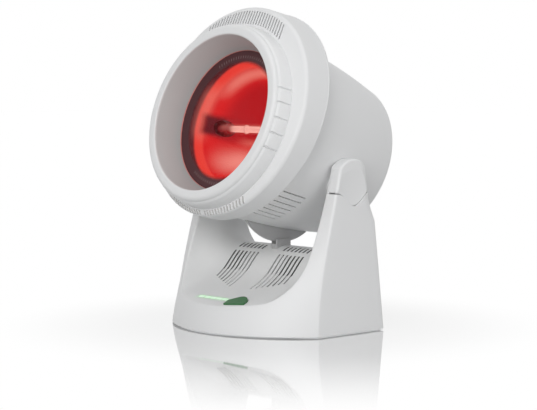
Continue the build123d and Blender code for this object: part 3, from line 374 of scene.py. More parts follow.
@dataclass(frozen=True)
class Housing(MouldedPlastic):
    """White moulded plastic with painted light and shade: painted shade in the funnel and the slots, the
    lamp's painted red light at the glass, a painted halo round the row of lights and a painted glow in the
    vents.
    """

    shadow: Colour = (0.10, 0.10, 0.10)
    # painted shade: the funnel inside the rim is darkened and cooled by this colour
    funnel_tint: Colour = (0.50, 0.52, 0.515)
    # painted light: the lamp's red light on the funnel's edge at the glass
    glass_line: Colour = srgb(238, 120, 104)
    # painted light: the cream glow of the lamp inside the head, seen through the vents
    vent_warmth: Colour = srgb(240, 226, 200)
    light_halo: Colour = srgb(205, 240, 206)
    funnel_radii: Span = (70.4, 69.6)
    funnel_s: Zone = (72.0, 100.6, 1.2)
    line_s: Span = (76.6, 75.2)
    line_share: float = 0.8
    halo_middle: Span = (-10.0, -64.0)
    halo_reach: Span = (19.0, 6.5)
    halo_z: Span = (36.5, 32.5)
    halo_share: float = 0.5
    flange_rise: float = 7.0
    vent_radii: Zone = (74.0, 91.4, 0.5)
    vent_s: Zone = (59.5, 80.8, 0.6)
    vent_up: Span = (-38.0, -60.0)
    vent_glow: float = 0.75

    def paint(self, shader: Shader) -> None:
        """Paints shade in the funnel, the lamp's red light at the glass, the halo of the lights, a glow in
        the vents and shade in the slots.
        """
        across, up, along = shader.millimetres(HEAD)
        # painted shade over the funnel inside the rim
        funnel = across.diagonal(up).rises(*self.funnel_radii) * along.within(*self.funnel_s)
        colour = shader.mix(funnel, self.skin(shader), self.funnel_tint)
        # painted light: a red line where the lamp's light falls on the funnel by the glass
        line = funnel * along.rises(*self.line_s)
        colour = shader.mix(line * self.line_share, colour, self.glass_line)
        side, depth, height = shader.millimetres()
        beyond = ((side - self.halo_middle[0]).size() - self.halo_reach[0]).most(0.0)
        halo = beyond.diagonal(depth - self.halo_middle[1]).rises(self.halo_reach[1], 0.0)
        halo = halo * height.rises(*self.halo_z)
        colour = shader.mix(halo * self.halo_share, colour, self.light_halo)
        # painted light: the housing's inside round the vents glows with the lamp's light
        ring = across.diagonal(up - self.flange_rise)
        inside = ring.within(*self.vent_radii) * along.within(*self.vent_s) * up.rises(*self.vent_up)
        vent_light = shader.mix(inside, (0.0, 0.0, 0.0), self.vent_warmth)
        recess = Value(shader, shader.node("ShaderNodeAttribute", attribute_name=RECESS).outputs["Fac"])
        shader.set(Base_Color=shader.mix(recess, colour, self.shadow), Emission_Color=vent_light,
                   Emission_Strength=self.vent_glow)


@dataclass(frozen=True)
class Metal(Finish):
    """Sheet or turned metal with drawn lines and a faint tarnish."""

    colour: Colour
    roughness: float = 0.3
    lines: float = 900.0
    line_depth: float = 0.00003
    stretch: tuple[float, float, float] = (0.05, 1.0, 1.0)
    tarnish: float = 35.0
    tarnish_shade: float = 0.82

    def paint(self, shader: Shader) -> None:
        """Draws lines along X and clouds the metal with tarnish."""
        drawn = shader.node("ShaderNodeMapping", {"Vector": shader.place(), "Scale": self.stretch})
        lines = shader.noise(self.lines, 3.0, drawn.outputs[0])
        tarnish = shader.noise(self.tarnish, 5.0)
        shader.set(Base_Color=shader.mix(tarnish, scaled(self.colour, self.tarnish_shade), self.colour),
                   Metallic=1.0, Roughness=self.roughness + (lines - 0.5) * 0.25)
        shader.relief(lines, self.line_depth, 0.4)


@dataclass(frozen=True)
class SoftRubber(Finish):
    """Matt rubber or felt with a mottled surface."""

    colour: Colour
    mottle: float = 700.0
    depth: float = 0.0001

    def paint(self, shader: Shader) -> None:
        """Mottles the colour, the roughness and the surface together."""
        mottle = shader.noise(self.mottle, 4.0)
        lighter = tuple(part * 1.5 + 0.01 for part in self.colour)
        shader.set(Base_Color=shader.mix(mottle, self.colour, lighter), Roughness=0.75 + mottle * 0.2)
        shader.relief(mottle, self.depth, 0.5)


@dataclass(frozen=True)
class CircuitBoard(Finish):
    """Green board with solder pads and tracks."""

    colour: Colour
    solder: Colour = (0.6, 0.6, 0.58)
    pitch: float = 0.00254
    pad: Span = (0.0007, 0.0005)
    tracks: float = 300.0
    track: Span = (0.52, 0.54)

    def paint(self, shader: Shader) -> None:
        """Lays the tracks and a grid of pads."""
        across, along, _ = shader.parts(shader.place())
        pad = across.wrapped(self.pitch).diagonal(along.wrapped(self.pitch)).rises(*self.pad)
        track = shader.noise(self.tracks, 1.0).rises(*self.track) * 0.5
        green = shader.mix(track, self.colour, scaled(self.colour, 1.7))
        shader.set(Base_Color=shader.mix(pad, green, self.solder), Metallic=pad,
                   Roughness=0.3 + shader.noise(90.0) * 0.15)


@dataclass(frozen=True)
class GlowingGuide(Finish):
    """Translucent light guide, lit pale green from behind."""

    colour: Colour
    glow: Colour
    ripples: float = 420.0
    strength: float = 0.6

    def paint(self, shader: Shader) -> None:
        """Lights the guide, with faint ripples."""
        ripple = shader.noise(self.ripples, 2.0)
        shader.set(Base_Color=shader.mix(ripple, self.colour, self.glow), Roughness=0.3,
                   Emission_Color=shader.mix(ripple, scaled(self.glow, 0.75), self.glow),
                   Emission_Strength=self.strength)


@dataclass(frozen=True)
class QuartzTube(Finish):
    """Clear quartz tube, filled with the glow of its wire and dark towards its sealed ends."""

    glow: Colour
    dim: Colour = srgb(200, 34, 32)
    dark: Colour = srgb(88, 18, 28)
    tint: Colour = (0.05, 0.006, 0.008)
    lit_x: Span = (46.0, 37.0)
    core: Span = (0.6, 5.4)
    strength: float = 0.9
    body: float = 0.16

    def paint(self, shader: Shader) -> None:
        """Lights the middle of the tube and lets its ends go dark."""
        across, up, _ = shader.millimetres(HEAD)
        lit = across.size().rises(*self.lit_x)
        ripple = shader.noise(900.0, 2.0)
        core = (up.bump(*self.core) * (0.75 + ripple * 0.5)).least(1.0)
        glow = shader.mix(lit, self.dark, shader.mix(core, self.dim, self.glow))
        shader.set(Base_Color=self.tint, Roughness=0.12 + ripple * 0.05,
                   Alpha=self.body + lit * core * self.body,
                   Emission_Color=glow, Emission_Strength=self.strength)


@dataclass(frozen=True)
class GlowingWire(Finish):
    """Tungsten wire at a bright heat, on support rings that glow a little less."""

    dark: Colour = (0.05, 0.03, 0.03)
    light: Colour = (0.12, 0.08, 0.07)
    glow: Colour = srgb(255, 186, 172)
    cool: Colour = srgb(110, 18, 24)
    lit_x: Span = (35.0, 26.0)
    axis_s: float = 44.3
    coil_radii: Span = (3.3, 3.0)
    ring_share: float = 0.75
    strength: float = 1.3

    def paint(self, shader: Shader) -> None:
        """Lights the wire's middle and leaves its ends cool."""
        across, up, along = shader.millimetres(HEAD)
        coil = up.diagonal(along - self.axis_s).rises(*self.coil_radii)
        lit = across.size().rises(*self.lit_x) * (self.ring_share + coil * (1.0 - self.ring_share))
        drawn = shader.noise(1500.0, 2.0)
        shader.set(Base_Color=shader.mix(drawn, self.dark, self.light), Metallic=1.0,
                   Roughness=0.35 + drawn * 0.2, Emission_Color=shader.mix(lit, self.cool, self.glow),
                   Emission_Strength=self.strength)


@dataclass(frozen=True)
class FilterGlass(Finish):
    """Deep red filter glass with a dark printed border and fine graduation marks."""

    red: Colour = (0.16, 0.004, 0.005)
    print_dark: Colour = srgb(80, 50, 53)
    mark: Colour = srgb(160, 138, 138)
    border_radii: Span = (50.0, 55.0)
    front_s: Span = (73.5, 74.5)
    mark_radii: Zone = (56.4, 58.8, 0.15)
    mark_step: float = 3.0
    mark_width: Span = (0.36, 0.24)
    mark_reach: Span = (34.3, 34.0)
    mark_share: float = 0.6
    body: float = 0.14
    shine: float = 0.12

    def paint(self, shader: Shader) -> None:
        """Prints the border and its marks on the front of the glass."""
        across, up, along = shader.millimetres(HEAD)
        radius = across.diagonal(up)
        border = radius.rises(*self.border_radii) * along.rises(*self.front_s)
        dark = shader.mix(shader.noise(220.0), self.print_dark, scaled(self.print_dark, 1.15))
        angle = shader.node("ShaderNodeMath", {0: across, 1: up.size()}, operation="ARCTAN2")
        degrees = Value(shader, angle.outputs[0]) * math.degrees(1.0)
        tick = degrees.wrapped(self.mark_step).rises(*self.mark_width)
        marks = tick * radius.within(*self.mark_radii) * degrees.size().rises(*self.mark_reach)
        dark = shader.mix(marks * self.mark_share, dark, self.mark)
        shader.set(Base_Color=shader.mix(border, self.red, dark), Roughness=0.08 + border * 0.3,
                   Alpha=self.body + border * (1.0 - self.body), Specular_IOR_Level=self.shine)


@dataclass(frozen=True)
class GlowingReflector(Finish):
    """Dimpled bright bowl, with the red light of the lamp in front of it painted on as a glow."""

    # painted light: the glow colours below are the lamp's light as the bowl reflects it, with painted
    # highlights, reflections and shade
    deep: Colour = srgb(182, 15, 23)
    red: Colour = srgb(222, 26, 28)
    ring: Colour = srgb(243, 66, 55)
    edge: Colour = srgb(82, 38, 42)
    # painted highlight: the pale arc of reflected light high in the bowl, also laid on its shoulder
    arc: Colour = srgb(243, 132, 118)
    # painted reflection: the lamp's pale reflection low in the bowl and just below its line
    pale: Colour = srgb(250, 144, 132)
    # painted shadow: the dark block of the lamp's socket and its shadow on the bowl
    dark: Colour = srgb(84, 16, 26)
    # painted shade: a darker band along the lamp's line
    band: Colour = srgb(150, 18, 28)
    # painted shade: the dimples' hollows are darker than their ridges
    hollow: Colour = (0.02, 0.002, 0.002)
    ridge: Colour = (0.05, 0.006, 0.006)
    rim_radius: float = 61.0
    dimple: float = 0.0014
    dimple_depth: float = 0.0003
    waves: Span = (28.0, 6.0)
    lower_up: Span = (0.0, -14.0)
    lower_radii: Span = (54.0, 40.0)
    arc_hill: Span = (49.5, 6.0)
    arc_up: Span = (20.0, 42.0)
    shoulder_hill: Span = (55.5, 6.5)
    shoulder_up: Zone = (-4.0, 24.0, 18.0)
    low_hill: Span = (-29.0, 20.0)
    low_radii: Span = (58.0, 46.0)
    low_side: Span = (50.0, 20.0)
    band_up: Zone = (-8.0, 7.0, 7.0)
    band_side: Span = (54.0, 30.0)
    band_end: Span = (26.0, 42.0)
    below_hill: Span = (-9.0, 6.0)
    below_side: Span = (34.0, 20.0)
    block_up: Zone = (-5.0, 5.5, 7.0)
    block_side: Zone = (43.5, 51.5, 6.0)
    strength: float = 1.12
    shine: float = 0.1

    def paint(self, shader: Shader) -> None:
        """Paints the rings of light, the arc highlight, the low reflection, the shaded band along the lamp
        and the socket's shadow.
        """
        local = shader.place(HEAD)
        across, up, _ = shader.millimetres(HEAD)
        side, radius = across.size(), across.diagonal(up)
        dimples = shader.node("ShaderNodeTexVoronoi", {"Vector": local, "Scale": 1.0 / self.dimple})
        cell = Value(shader, dimples.outputs["Distance"])
        waves = (shader.noise(self.waves[0], 2.0, local) - 0.5) * self.waves[1]
        # painted light: rings of the lamp's reflected glow, bright near the rim and dark at its edge
        glow = shader.ramp(radius / self.rim_radius, [
            (0.0, self.deep), (0.62, self.deep), (0.80, self.red), (0.865, self.red), (0.885, self.ring),
            (0.94, self.ring), (0.965, self.edge), (1.0, self.edge)])
        # painted highlight on the bowl's shoulder
        shoulder = (radius + waves * 0.3).bump(*self.shoulder_hill)
        # painted reflection of the lamp low in the bowl
        low = (up + waves * 0.6).bump(*self.low_hill) * radius.rises(*self.low_radii)
        # painted shade along the lamp's line, flecked by the dimples
        band = up.within(*self.band_up) * side.rises(*self.band_side) * (0.7 + cell * 0.3)
        for share, colour in (
                ((up + waves).rises(*self.lower_up) * radius.rises(*self.lower_radii) * 0.8, self.red),
                ((radius + waves * 0.4).bump(*self.arc_hill) * up.rises(*self.arc_up) * 0.85, self.arc),
                (shoulder * up.within(*self.shoulder_up) * 0.5, self.arc),
                (low * side.rises(*self.low_side), self.pale),
                (band.least(1.0) * (0.3 + side.rises(*self.band_end) * 0.6), self.band),
                (up.bump(*self.below_hill) * side.rises(*self.below_side) * 0.4, self.arc),
                # painted shadow of the socket on the bowl
                (up.within(*self.block_up) * side.within(*self.block_side), self.dark)):
            glow = shader.mix(share, glow, colour)
        shader.set(Base_Color=shader.mix(cell, self.hollow, self.ridge), Roughness=0.35, Emission_Color=glow,
                   Emission_Strength=self.strength, Specular_IOR_Level=self.shine)
        shader.relief(cell, self.dimple_depth, 0.6)


class Slot(Enum):
    """The record's material slots, each with its finish."""

    white_housing = Housing((0.78, 0.785, 0.79), roughness=0.45)
    grey_plastic = MouldedPlastic((0.42, 0.42, 0.425), roughness=0.45)
    green_button = MouldedPlastic(srgb(58, 114, 68), roughness=0.38, grain=1500.0)
    light_guide = GlowingGuide((0.45, 0.75, 0.5), srgb(205, 245, 205))
    red_filter = FilterGlass()
    quartz = QuartzTube(srgb(250, 158, 146))
    reflector_metal = GlowingReflector()
    steel = Metal((0.60, 0.60, 0.61))
    tungsten = GlowingWire()
    # painted shade: the ceramic is darkened red-brown so the sockets read as the shaded block behind the
    # glass
    ceramic = MouldedPlastic((0.16, 0.10, 0.09), roughness=0.7, grain=900.0)
    black_plastic = MouldedPlastic((0.02, 0.02, 0.022), roughness=0.4)
    rubber = SoftRubber((0.02, 0.02, 0.02))
    acetal = MouldedPlastic((0.72, 0.72, 0.70), roughness=0.3, coat=0.2)
    board_green = CircuitBoard((0.02, 0.13, 0.06))
    blue_plastic = MouldedPlastic((0.02, 0.08, 0.30), roughness=0.3)
    friction_pad = SoftRubber((0.40, 0.40, 0.40), mottle=1500.0)

    @cached_property
    def material(self) -> bpy.types.Material:
        """The slot's material, built when it is first asked for."""
        return self.value.build(self.name)


# ---- studio ----
@dataclass
class Studio:
    """Pale floor, white surroundings, soft lamps and the camera."""

    azimuth: float = 47.31
    elevation: float = 3.0
    distance: float = 1.6
    target: Vector = field(default_factory=lambda: Vector((0.0, -0.0101, 0.140)))
    focal_px: float = 1803.0
    image_px: tuple[int, int] = (537, 410)
    centre_px: Span = (266.3, 167.55)
    sensor: float = 36.0
    surroundings: float = 0.46
    floor_size: float = 14.0
    floor_z: float = -0.0003
    floor_gloss: float = 0.04
    bounce: float = 0.57
    mirror: Span = (0.44, 0.16)
    mirror_share: float = 0.82
    shadow: Span = (0.26, 0.10)
    shadow_share: float = 0.16
    foot_half: float = 0.0927
    foot_rear: float = 0.0455
    foot_front: float = -0.0352
    foot_bow: float = 0.0499
    foot_corner: float = 0.003
    foot_edge: float = 0.0012
    foot_shade: Colour = srgb(206, 208, 209)

    def camera(self) -> None:
        """Puts the camera at its viewing angle."""
        turn, lift = math.radians(self.azimuth), math.radians(self.elevation)
        back = Vector((math.sin(turn) * math.cos(lift), -math.cos(turn) * math.cos(lift), math.sin(lift)))
        bpy.ops.object.camera_add(location=self.target + back * self.distance,
                                  rotation=(-back).to_track_quat("-Z", "Y").to_euler())
        camera = bpy.context.object
        camera.name = "camera"
        width, height = self.image_px
        camera.data.sensor_width = self.sensor
        camera.data.lens = self.focal_px / width * self.sensor
        camera.data.shift_x = (width / 2 - self.centre_px[0]) / width
        camera.data.shift_y = (self.centre_px[1] - height / 2) / width
        bpy.context.scene.camera = camera

    def floor(self) -> None:
        """Lays a white floor that mirrors the lamp close by and fades to plain white towards the viewer."""
        bpy.ops.mesh.primitive_plane_add(size=self.floor_size, location=(0.0, 0.0, self.floor_z))
        floor = bpy.context.object
        floor.name = "floor"
        shader = Shader("floor_white")
        shader.set(Base_Color=(self.bounce,) * 3, Roughness=0.6, Specular_IOR_Level=0.0)
        rays = shader.node("ShaderNodeLightPath").outputs
        shown = Value(shader, rays["Is Camera Ray"]).most(Value(shader, rays["Is Glossy Ray"]))
        shown = shown.most(Value(shader, rays["Is Transmission Ray"]))
        across, along, _ = shader.parts(shader.place())
        turn = math.radians(self.azimuth)
        forward = across * math.sin(turn) - along * math.cos(turn)
        plain, white = shader.surface.outputs[0], (1.0, 1.0, 1.0, 1.0)
        gloss = shader.node("ShaderNodeBsdfGlossy", {"Color": white, "Roughness": self.floor_gloss})
        seen = self.blend(shader, forward.rises(*self.mirror) * self.mirror_share,
                          self.light(shader, white), gloss.outputs[0])
        seen = self.blend(shader, self.foot(across, along), seen, self.light(shader, (*self.foot_shade, 1.0)))
        shadow = across.diagonal(along).rises(*self.shadow) * self.shadow_share
        surface = self.blend(shader, shown, plain, self.blend(shader, shadow, seen, plain))
        shader.tree.links.new(surface, shader.tree.nodes["Material Output"].inputs["Surface"])
        floor.data.materials.append(shader.material)

    def foot(self, across: Value, along: Value) -> Value:
        """The outline that the base covers on the floor.

        Args:
            across: The floor's X.
            along: The floor's Y.

        Returns:
            1 inside and 0 outside.
        """
        edge, corner = self.foot_edge, self.foot_corner
        front = self.foot_front - (1.0 - (across / self.foot_half) ** 2.0) * self.foot_bow
        inside = across.size().rises(self.foot_half, self.foot_half - edge) * (along - front).rises(0.0, edge)
        inside = inside * along.rises(self.foot_rear, self.foot_rear - edge)
        beside = (across.size() - (self.foot_half - corner)).most(0.0)
        behind = (along - (self.foot_rear - corner)).most(0.0)
        return inside * beside.diagonal(behind).rises(corner, corner - edge)

    @staticmethod
    def light(shader: Shader, colour: tuple[float, ...]) -> Socket:
        """A surface that shines in an even colour."""
        return shader.node("ShaderNodeEmission", {"Color": colour, "Strength": 1.0}).outputs[0]

    @staticmethod
    def blend(shader: Shader, share: Value, low: Socket, high: Socket) -> Socket:
        """Two surfaces mixed: low where the share is 0 and high where it is 1."""
        return shader.node("ShaderNodeMixShader", {0: share, 1: low, 2: high}).outputs[0]

    def world(self) -> None:
        """Makes the surroundings white to the camera and dimmer as a light."""
        world = bpy.data.worlds.new("surroundings")
        bpy.context.scene.world = world
        world.use_nodes = True
        nodes, links = world.node_tree.nodes, world.node_tree.links
        background = nodes["Background"]
        background.inputs["Color"].default_value = (1.0, 1.0, 1.0, 1.0)
        rays = nodes.new("ShaderNodeLightPath").outputs
        shown = rays["Is Camera Ray"]
        for ray in ("Is Glossy Ray", "Is Transmission Ray"):
            most = nodes.new("ShaderNodeMath")
            most.operation = "MAXIMUM"
            links.new(shown, most.inputs[0])
            links.new(rays[ray], most.inputs[1])
            shown = most.outputs[0]
        level = nodes.new("ShaderNodeMapRange")
        level.inputs["To Min"].default_value = self.surroundings
        links.new(shown, level.inputs["Value"])
        links.new(level.outputs["Result"], background.inputs["Strength"])

    @staticmethod
    def lamp(name: str, place: Sequence[float], aim: Sequence[float], size: float, power: float) -> None:
        """Hangs a square soft lamp.

        Args:
            name: Its name.
            place: Where it hangs.
            aim: The point that it faces.
            size: Its side in metres.
            power: Its power in watts.
        """
        facing = (Vector(aim) - Vector(place)).to_track_quat("-Z", "Y").to_euler()
        bpy.ops.object.light_add(type="AREA", location=place, rotation=facing)
        lamp = bpy.context.object
        lamp.name = name
        lamp.data.size = size
        lamp.data.energy = power

    def build(self) -> None:
        """Sets up the whole studio."""
        self.camera()
        self.floor()
        self.world()
        self.lamp("key_front", (0.95, -1.8, 0.85), (0.0, -0.05, 0.15), 1.2, 17.5)
        self.lamp("fill_right", (1.8, -0.3, 0.12), (0.0, 0.0, 0.15), 1.0, 8.0)
        self.lamp("top_soft", (0.2, -0.1, 1.9), (0.0, 0.0, 0.1), 1.4, 5.0)
        bpy.context.scene.view_settings.view_transform = "Standard"


# ---- mesh work ----
class Bench:
    """Mesh work by Blender's own tools, with sizes in millimetres."""

    merge = 0.004

    @staticmethod
    def clear() -> None:
        """Leaves nothing selected."""
        bpy.ops.object.select_all(action="DESELECT")

    @staticmethod
    def choose(piece: Piece) -> None:
        """Selects one piece and nothing else."""
        Bench.clear()
        piece.select_set(True)
        bpy.context.view_layer.objects.active = piece

    @staticmethod
    @contextmanager
    def edit(piece: Piece) -> Iterator[None]:
        """Edit mode, with the whole of a piece selected."""
        Bench.choose(piece)
        bpy.ops.object.mode_set(mode="EDIT")
        bpy.ops.mesh.select_all(action="SELECT")
        yield
        bpy.ops.object.mode_set(mode="OBJECT")

    @staticmethod
    def lathe(name: str, stations: Sequence[Span], sides: int, closed: bool = False) -> Piece:
        """Turns a profile about Z by extruding a circle from station to station.

        Args:
            name: The piece's name.
            stations: Radius and height of the profile's points, in order.
            sides: Steps round the axis.
            closed: Whether the profile returns to its start.

        Returns:
            The piece.
        """
        Bench.clear()
        radius, height = stations[0]
        place = (0.0, 0.0, height * MM)
        bpy.ops.mesh.primitive_circle_add(vertices=sides, radius=radius * MM, location=place)
        piece = bpy.context.object
        piece.name = name
        bpy.ops.object.transform_apply(location=True, rotation=False, scale=False)
        with Bench.edit(piece):
            for wide, high in [*stations[1:], *([stations[0]] if closed else [])]:
                rise, scale = (high - height) * MM, wide / radius
                bpy.ops.mesh.extrude_edges_move(TRANSFORM_OT_translate={"value": (0.0, 0.0, rise)})
                bpy.ops.transform.resize(value=(scale, scale, 1.0), center_override=(0.0, 0.0, 0.0))
                radius, height = wide, high
        Bench.weld(piece, Bench.merge)
        return piece

    @staticmethod
    def weld(piece: Piece, reach: float) -> None:
        """Merges the points that lie close together and turns the faces outwards.

        Args:
            piece: The piece.
            reach: The distance within which points are merged.
        """
        with Bench.edit(piece):
            bpy.ops.mesh.remove_doubles(threshold=reach * MM)
            bpy.ops.mesh.normals_make_consistent(inside=False)

    @staticmethod
    def repeat(piece: Piece, places: Sequence[Matrix]) -> Piece:
        """Sets a piece and copies of it, each with its own mesh, at several places and joins them.

        Args:
            piece: The piece.
            places: Where each of them stands, from where the piece stands now.

        Returns:
            All of them as one piece.
        """
        bpy.context.view_layer.update()
        start = piece.matrix_world.copy()
        made = [piece]
        for _ in places[1:]:
            copy = piece.copy()
            copy.data = piece.data.copy()
            bpy.context.scene.collection.objects.link(copy)
            made.append(copy)
        for one, place in zip(made, places):
            one.matrix_world = place @ start
        return Bench.join(made)

    @staticmethod
    def modify(piece: Piece, kind: str, **settings: Any) -> None:
        """Adds a modifier and applies it.

        Args:
            piece: The piece.
            kind: The modifier's type.
            settings: Its settings.
        """
        Bench.choose(piece)
        modifier = piece.modifiers.new(kind.lower(), kind)
        for key, setting in settings.items():
            setattr(modifier, key, setting)
        bpy.ops.object.modifier_apply(modifier=modifier.name)

    @staticmethod
    def join(pieces: Sequence[Piece]) -> Piece:
        """Makes several pieces one, under the first one's name."""
        Bench.choose(pieces[0])
        for piece in pieces[1:]:
            piece.select_set(True)
        bpy.ops.object.join()
        return bpy.context.object

    @staticmethod
    def carve(piece: Piece, cutter: Piece) -> None:
        """Takes a cutter's shape out of a piece and deletes the cutter."""
        Bench.modify(piece, "BOOLEAN", object=cutter, operation="DIFFERENCE", solver="EXACT")
        bpy.data.objects.remove(cutter, do_unlink=True)

    @staticmethod
    def settle(piece: Piece, smooth: float, place: Matrix) -> None:
        """Smooths a piece up to an angle and puts it at its place.

        Args:
            piece: The piece.
            smooth: The angle in degrees.
            place: The frame that its mesh is drawn in.
        """
        Bench.choose(piece)
        piece.matrix_world = place @ piece.matrix_world
        bpy.ops.object.transform_apply(location=True, rotation=True, scale=True)
        bpy.ops.object.shade_smooth_by_angle(angle=math.radians(smooth))


def arc(middle: Span, radius: float, start: float, end: float, steps: int) -> list[Span]:
    """Points of an arc, from a start to an end angle in degrees."""
    turns = [math.radians(start + (end - start) * step / steps) for step in range(steps + 1)]
    return [(middle[0] + radius * math.cos(turn), middle[1] + radius * math.sin(turn)) for turn in turns]


def dress(piece: Piece, body: str, slot: Slot, node: str) -> None:
    """Gives a new piece its finish, its body and the node that it stands for.

    Args:
        piece: The piece.
        body: The body that it rides on.
        slot: Its material slot.
        node: The CAD node that it replaces.
    """
    piece.data.materials.clear()
    piece.data.materials.append(slot.material)
    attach(piece, body)
    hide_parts(node)
    LOG.info("made %s with %d faces", piece.name, len(piece.data.polygons))


# ---- sub-assemblies ----
@dataclass
class BaseHousing:
    """The base's housing: the CAD's own form with crisper rear corners and an even surface."""

    # height, half width and rear
    sections: tuple[tuple[float, float, float], ...] = (
        (1.0, 92.68, 45.4), (57.0, 91.48, 40.0), (100.0, 90.58, 35.5), (155.0, 89.58, 28.0))
    weld: float = 0.001
    flat_angle: float = 0.3
    rounding: float = 12.0
    outside: float = 11.0
    crispness: float = 9.0
    crisp_z: Span = (96.0, 114.0)
    smooth: float = 28.0
    slot_first: float = 14.0
    slot_pitch: float = 5.0
    slot_count: int = 7
    slot_half: float = 1.05
    slot_y: tuple[float, float, float] = (-44.0, -21.0, 6.0)
    slot_z: float = 24.0
    slot_shade: Span = (0.30, 0.93)
    land_y: Span = (-6.6, -2.4)
    land_slope: float = 0.3

    def build(self) -> None:
        """Makes the housing."""
        housing = bpy.data.objects.new("base_housing", frame["nodes"]["base_shell"].data.copy())
        bpy.context.scene.collection.objects.link(housing)
        Bench.choose(housing)
        bpy.ops.mesh.customdata_custom_splitnormals_clear()
        with Bench.edit(housing):
            bpy.ops.mesh.remove_doubles(threshold=self.weld * MM)
            bpy.ops.mesh.dissolve_limited(angle_limit=math.radians(self.flat_angle))
        for vertex in housing.data.vertices:
            vertex.co.x = self.squared(vertex.co)
        self.mark_recesses(housing.data)
        Bench.settle(housing, self.smooth, Matrix.Identity(4))
        dress(housing, "base", Slot.white_housing, "base_shell")

    def mark_recesses(self, mesh: bpy.types.Mesh) -> None:
        """Marks the faces inside the slots and their shallow run-outs, which stay in shade.

        Args:
            mesh: The housing's mesh.
        """
        shade = mesh.attributes.new(RECESS, "FLOAT", "FACE")
        for face in mesh.polygons:
            points = [mesh.vertices[index].co / MM for index in face.vertices]
            middle = sum(points, Vector()) / len(points)
            step = round((abs(middle.x) - self.slot_first) / self.slot_pitch)
            centre = self.slot_first + self.slot_pitch * min(max(step, 0), self.slot_count - 1)
            inside = all(abs(abs(point.x) - centre) < self.slot_half and point.z > self.slot_z
                         and self.slot_y[0] < point.y < self.slot_y[2] for point in points)
            land = face.normal.z > self.land_slope and all(
                self.land_y[0] < point.y < self.land_y[1] for point in points)
            deep = middle.y > self.slot_y[1]
            shade.data[face.index].value = self.slot_shade[deep] if inside and not land else 0.0

    def squared(self, point: Vector) -> float:
        """A point's X, drawn out where it lies on the rounding of a rear corner.

        Args:
            point: The point, in metres.

        Returns:
            Its new X, in metres.
        """
        side, depth, height = abs(point.x) / MM, point.y / MM, point.z / MM
        half_width, rear = self.extent(height)
        beside, behind = side - (half_width - self.rounding), depth - (rear - self.rounding)
        if beside <= 0.0 or behind <= 0.0 or math.hypot(beside, behind) < self.outside:
            return point.x
        share = min(behind / self.rounding, 1.0)
        drawn = self.rounding * (1.0 - share ** self.crispness) ** (1.0 / self.crispness)
        low, high = self.crisp_z
        amount = min(max((high - height) / (high - low), 0.0), 1.0)
        return math.copysign((side + max(drawn - beside, 0.0) * amount) * MM, point.x)

    def extent(self, height: float) -> Span:
        """The base's half width and rear at a height."""
        for low, high in zip(self.sections, self.sections[1:]):
            if height <= high[0]:
                break
        share = min(max((height - low[0]) / (high[0] - low[0]), 0.0), 1.0)
        return low[1] + (high[1] - low[1]) * share, low[2] + (high[2] - low[2]) * share


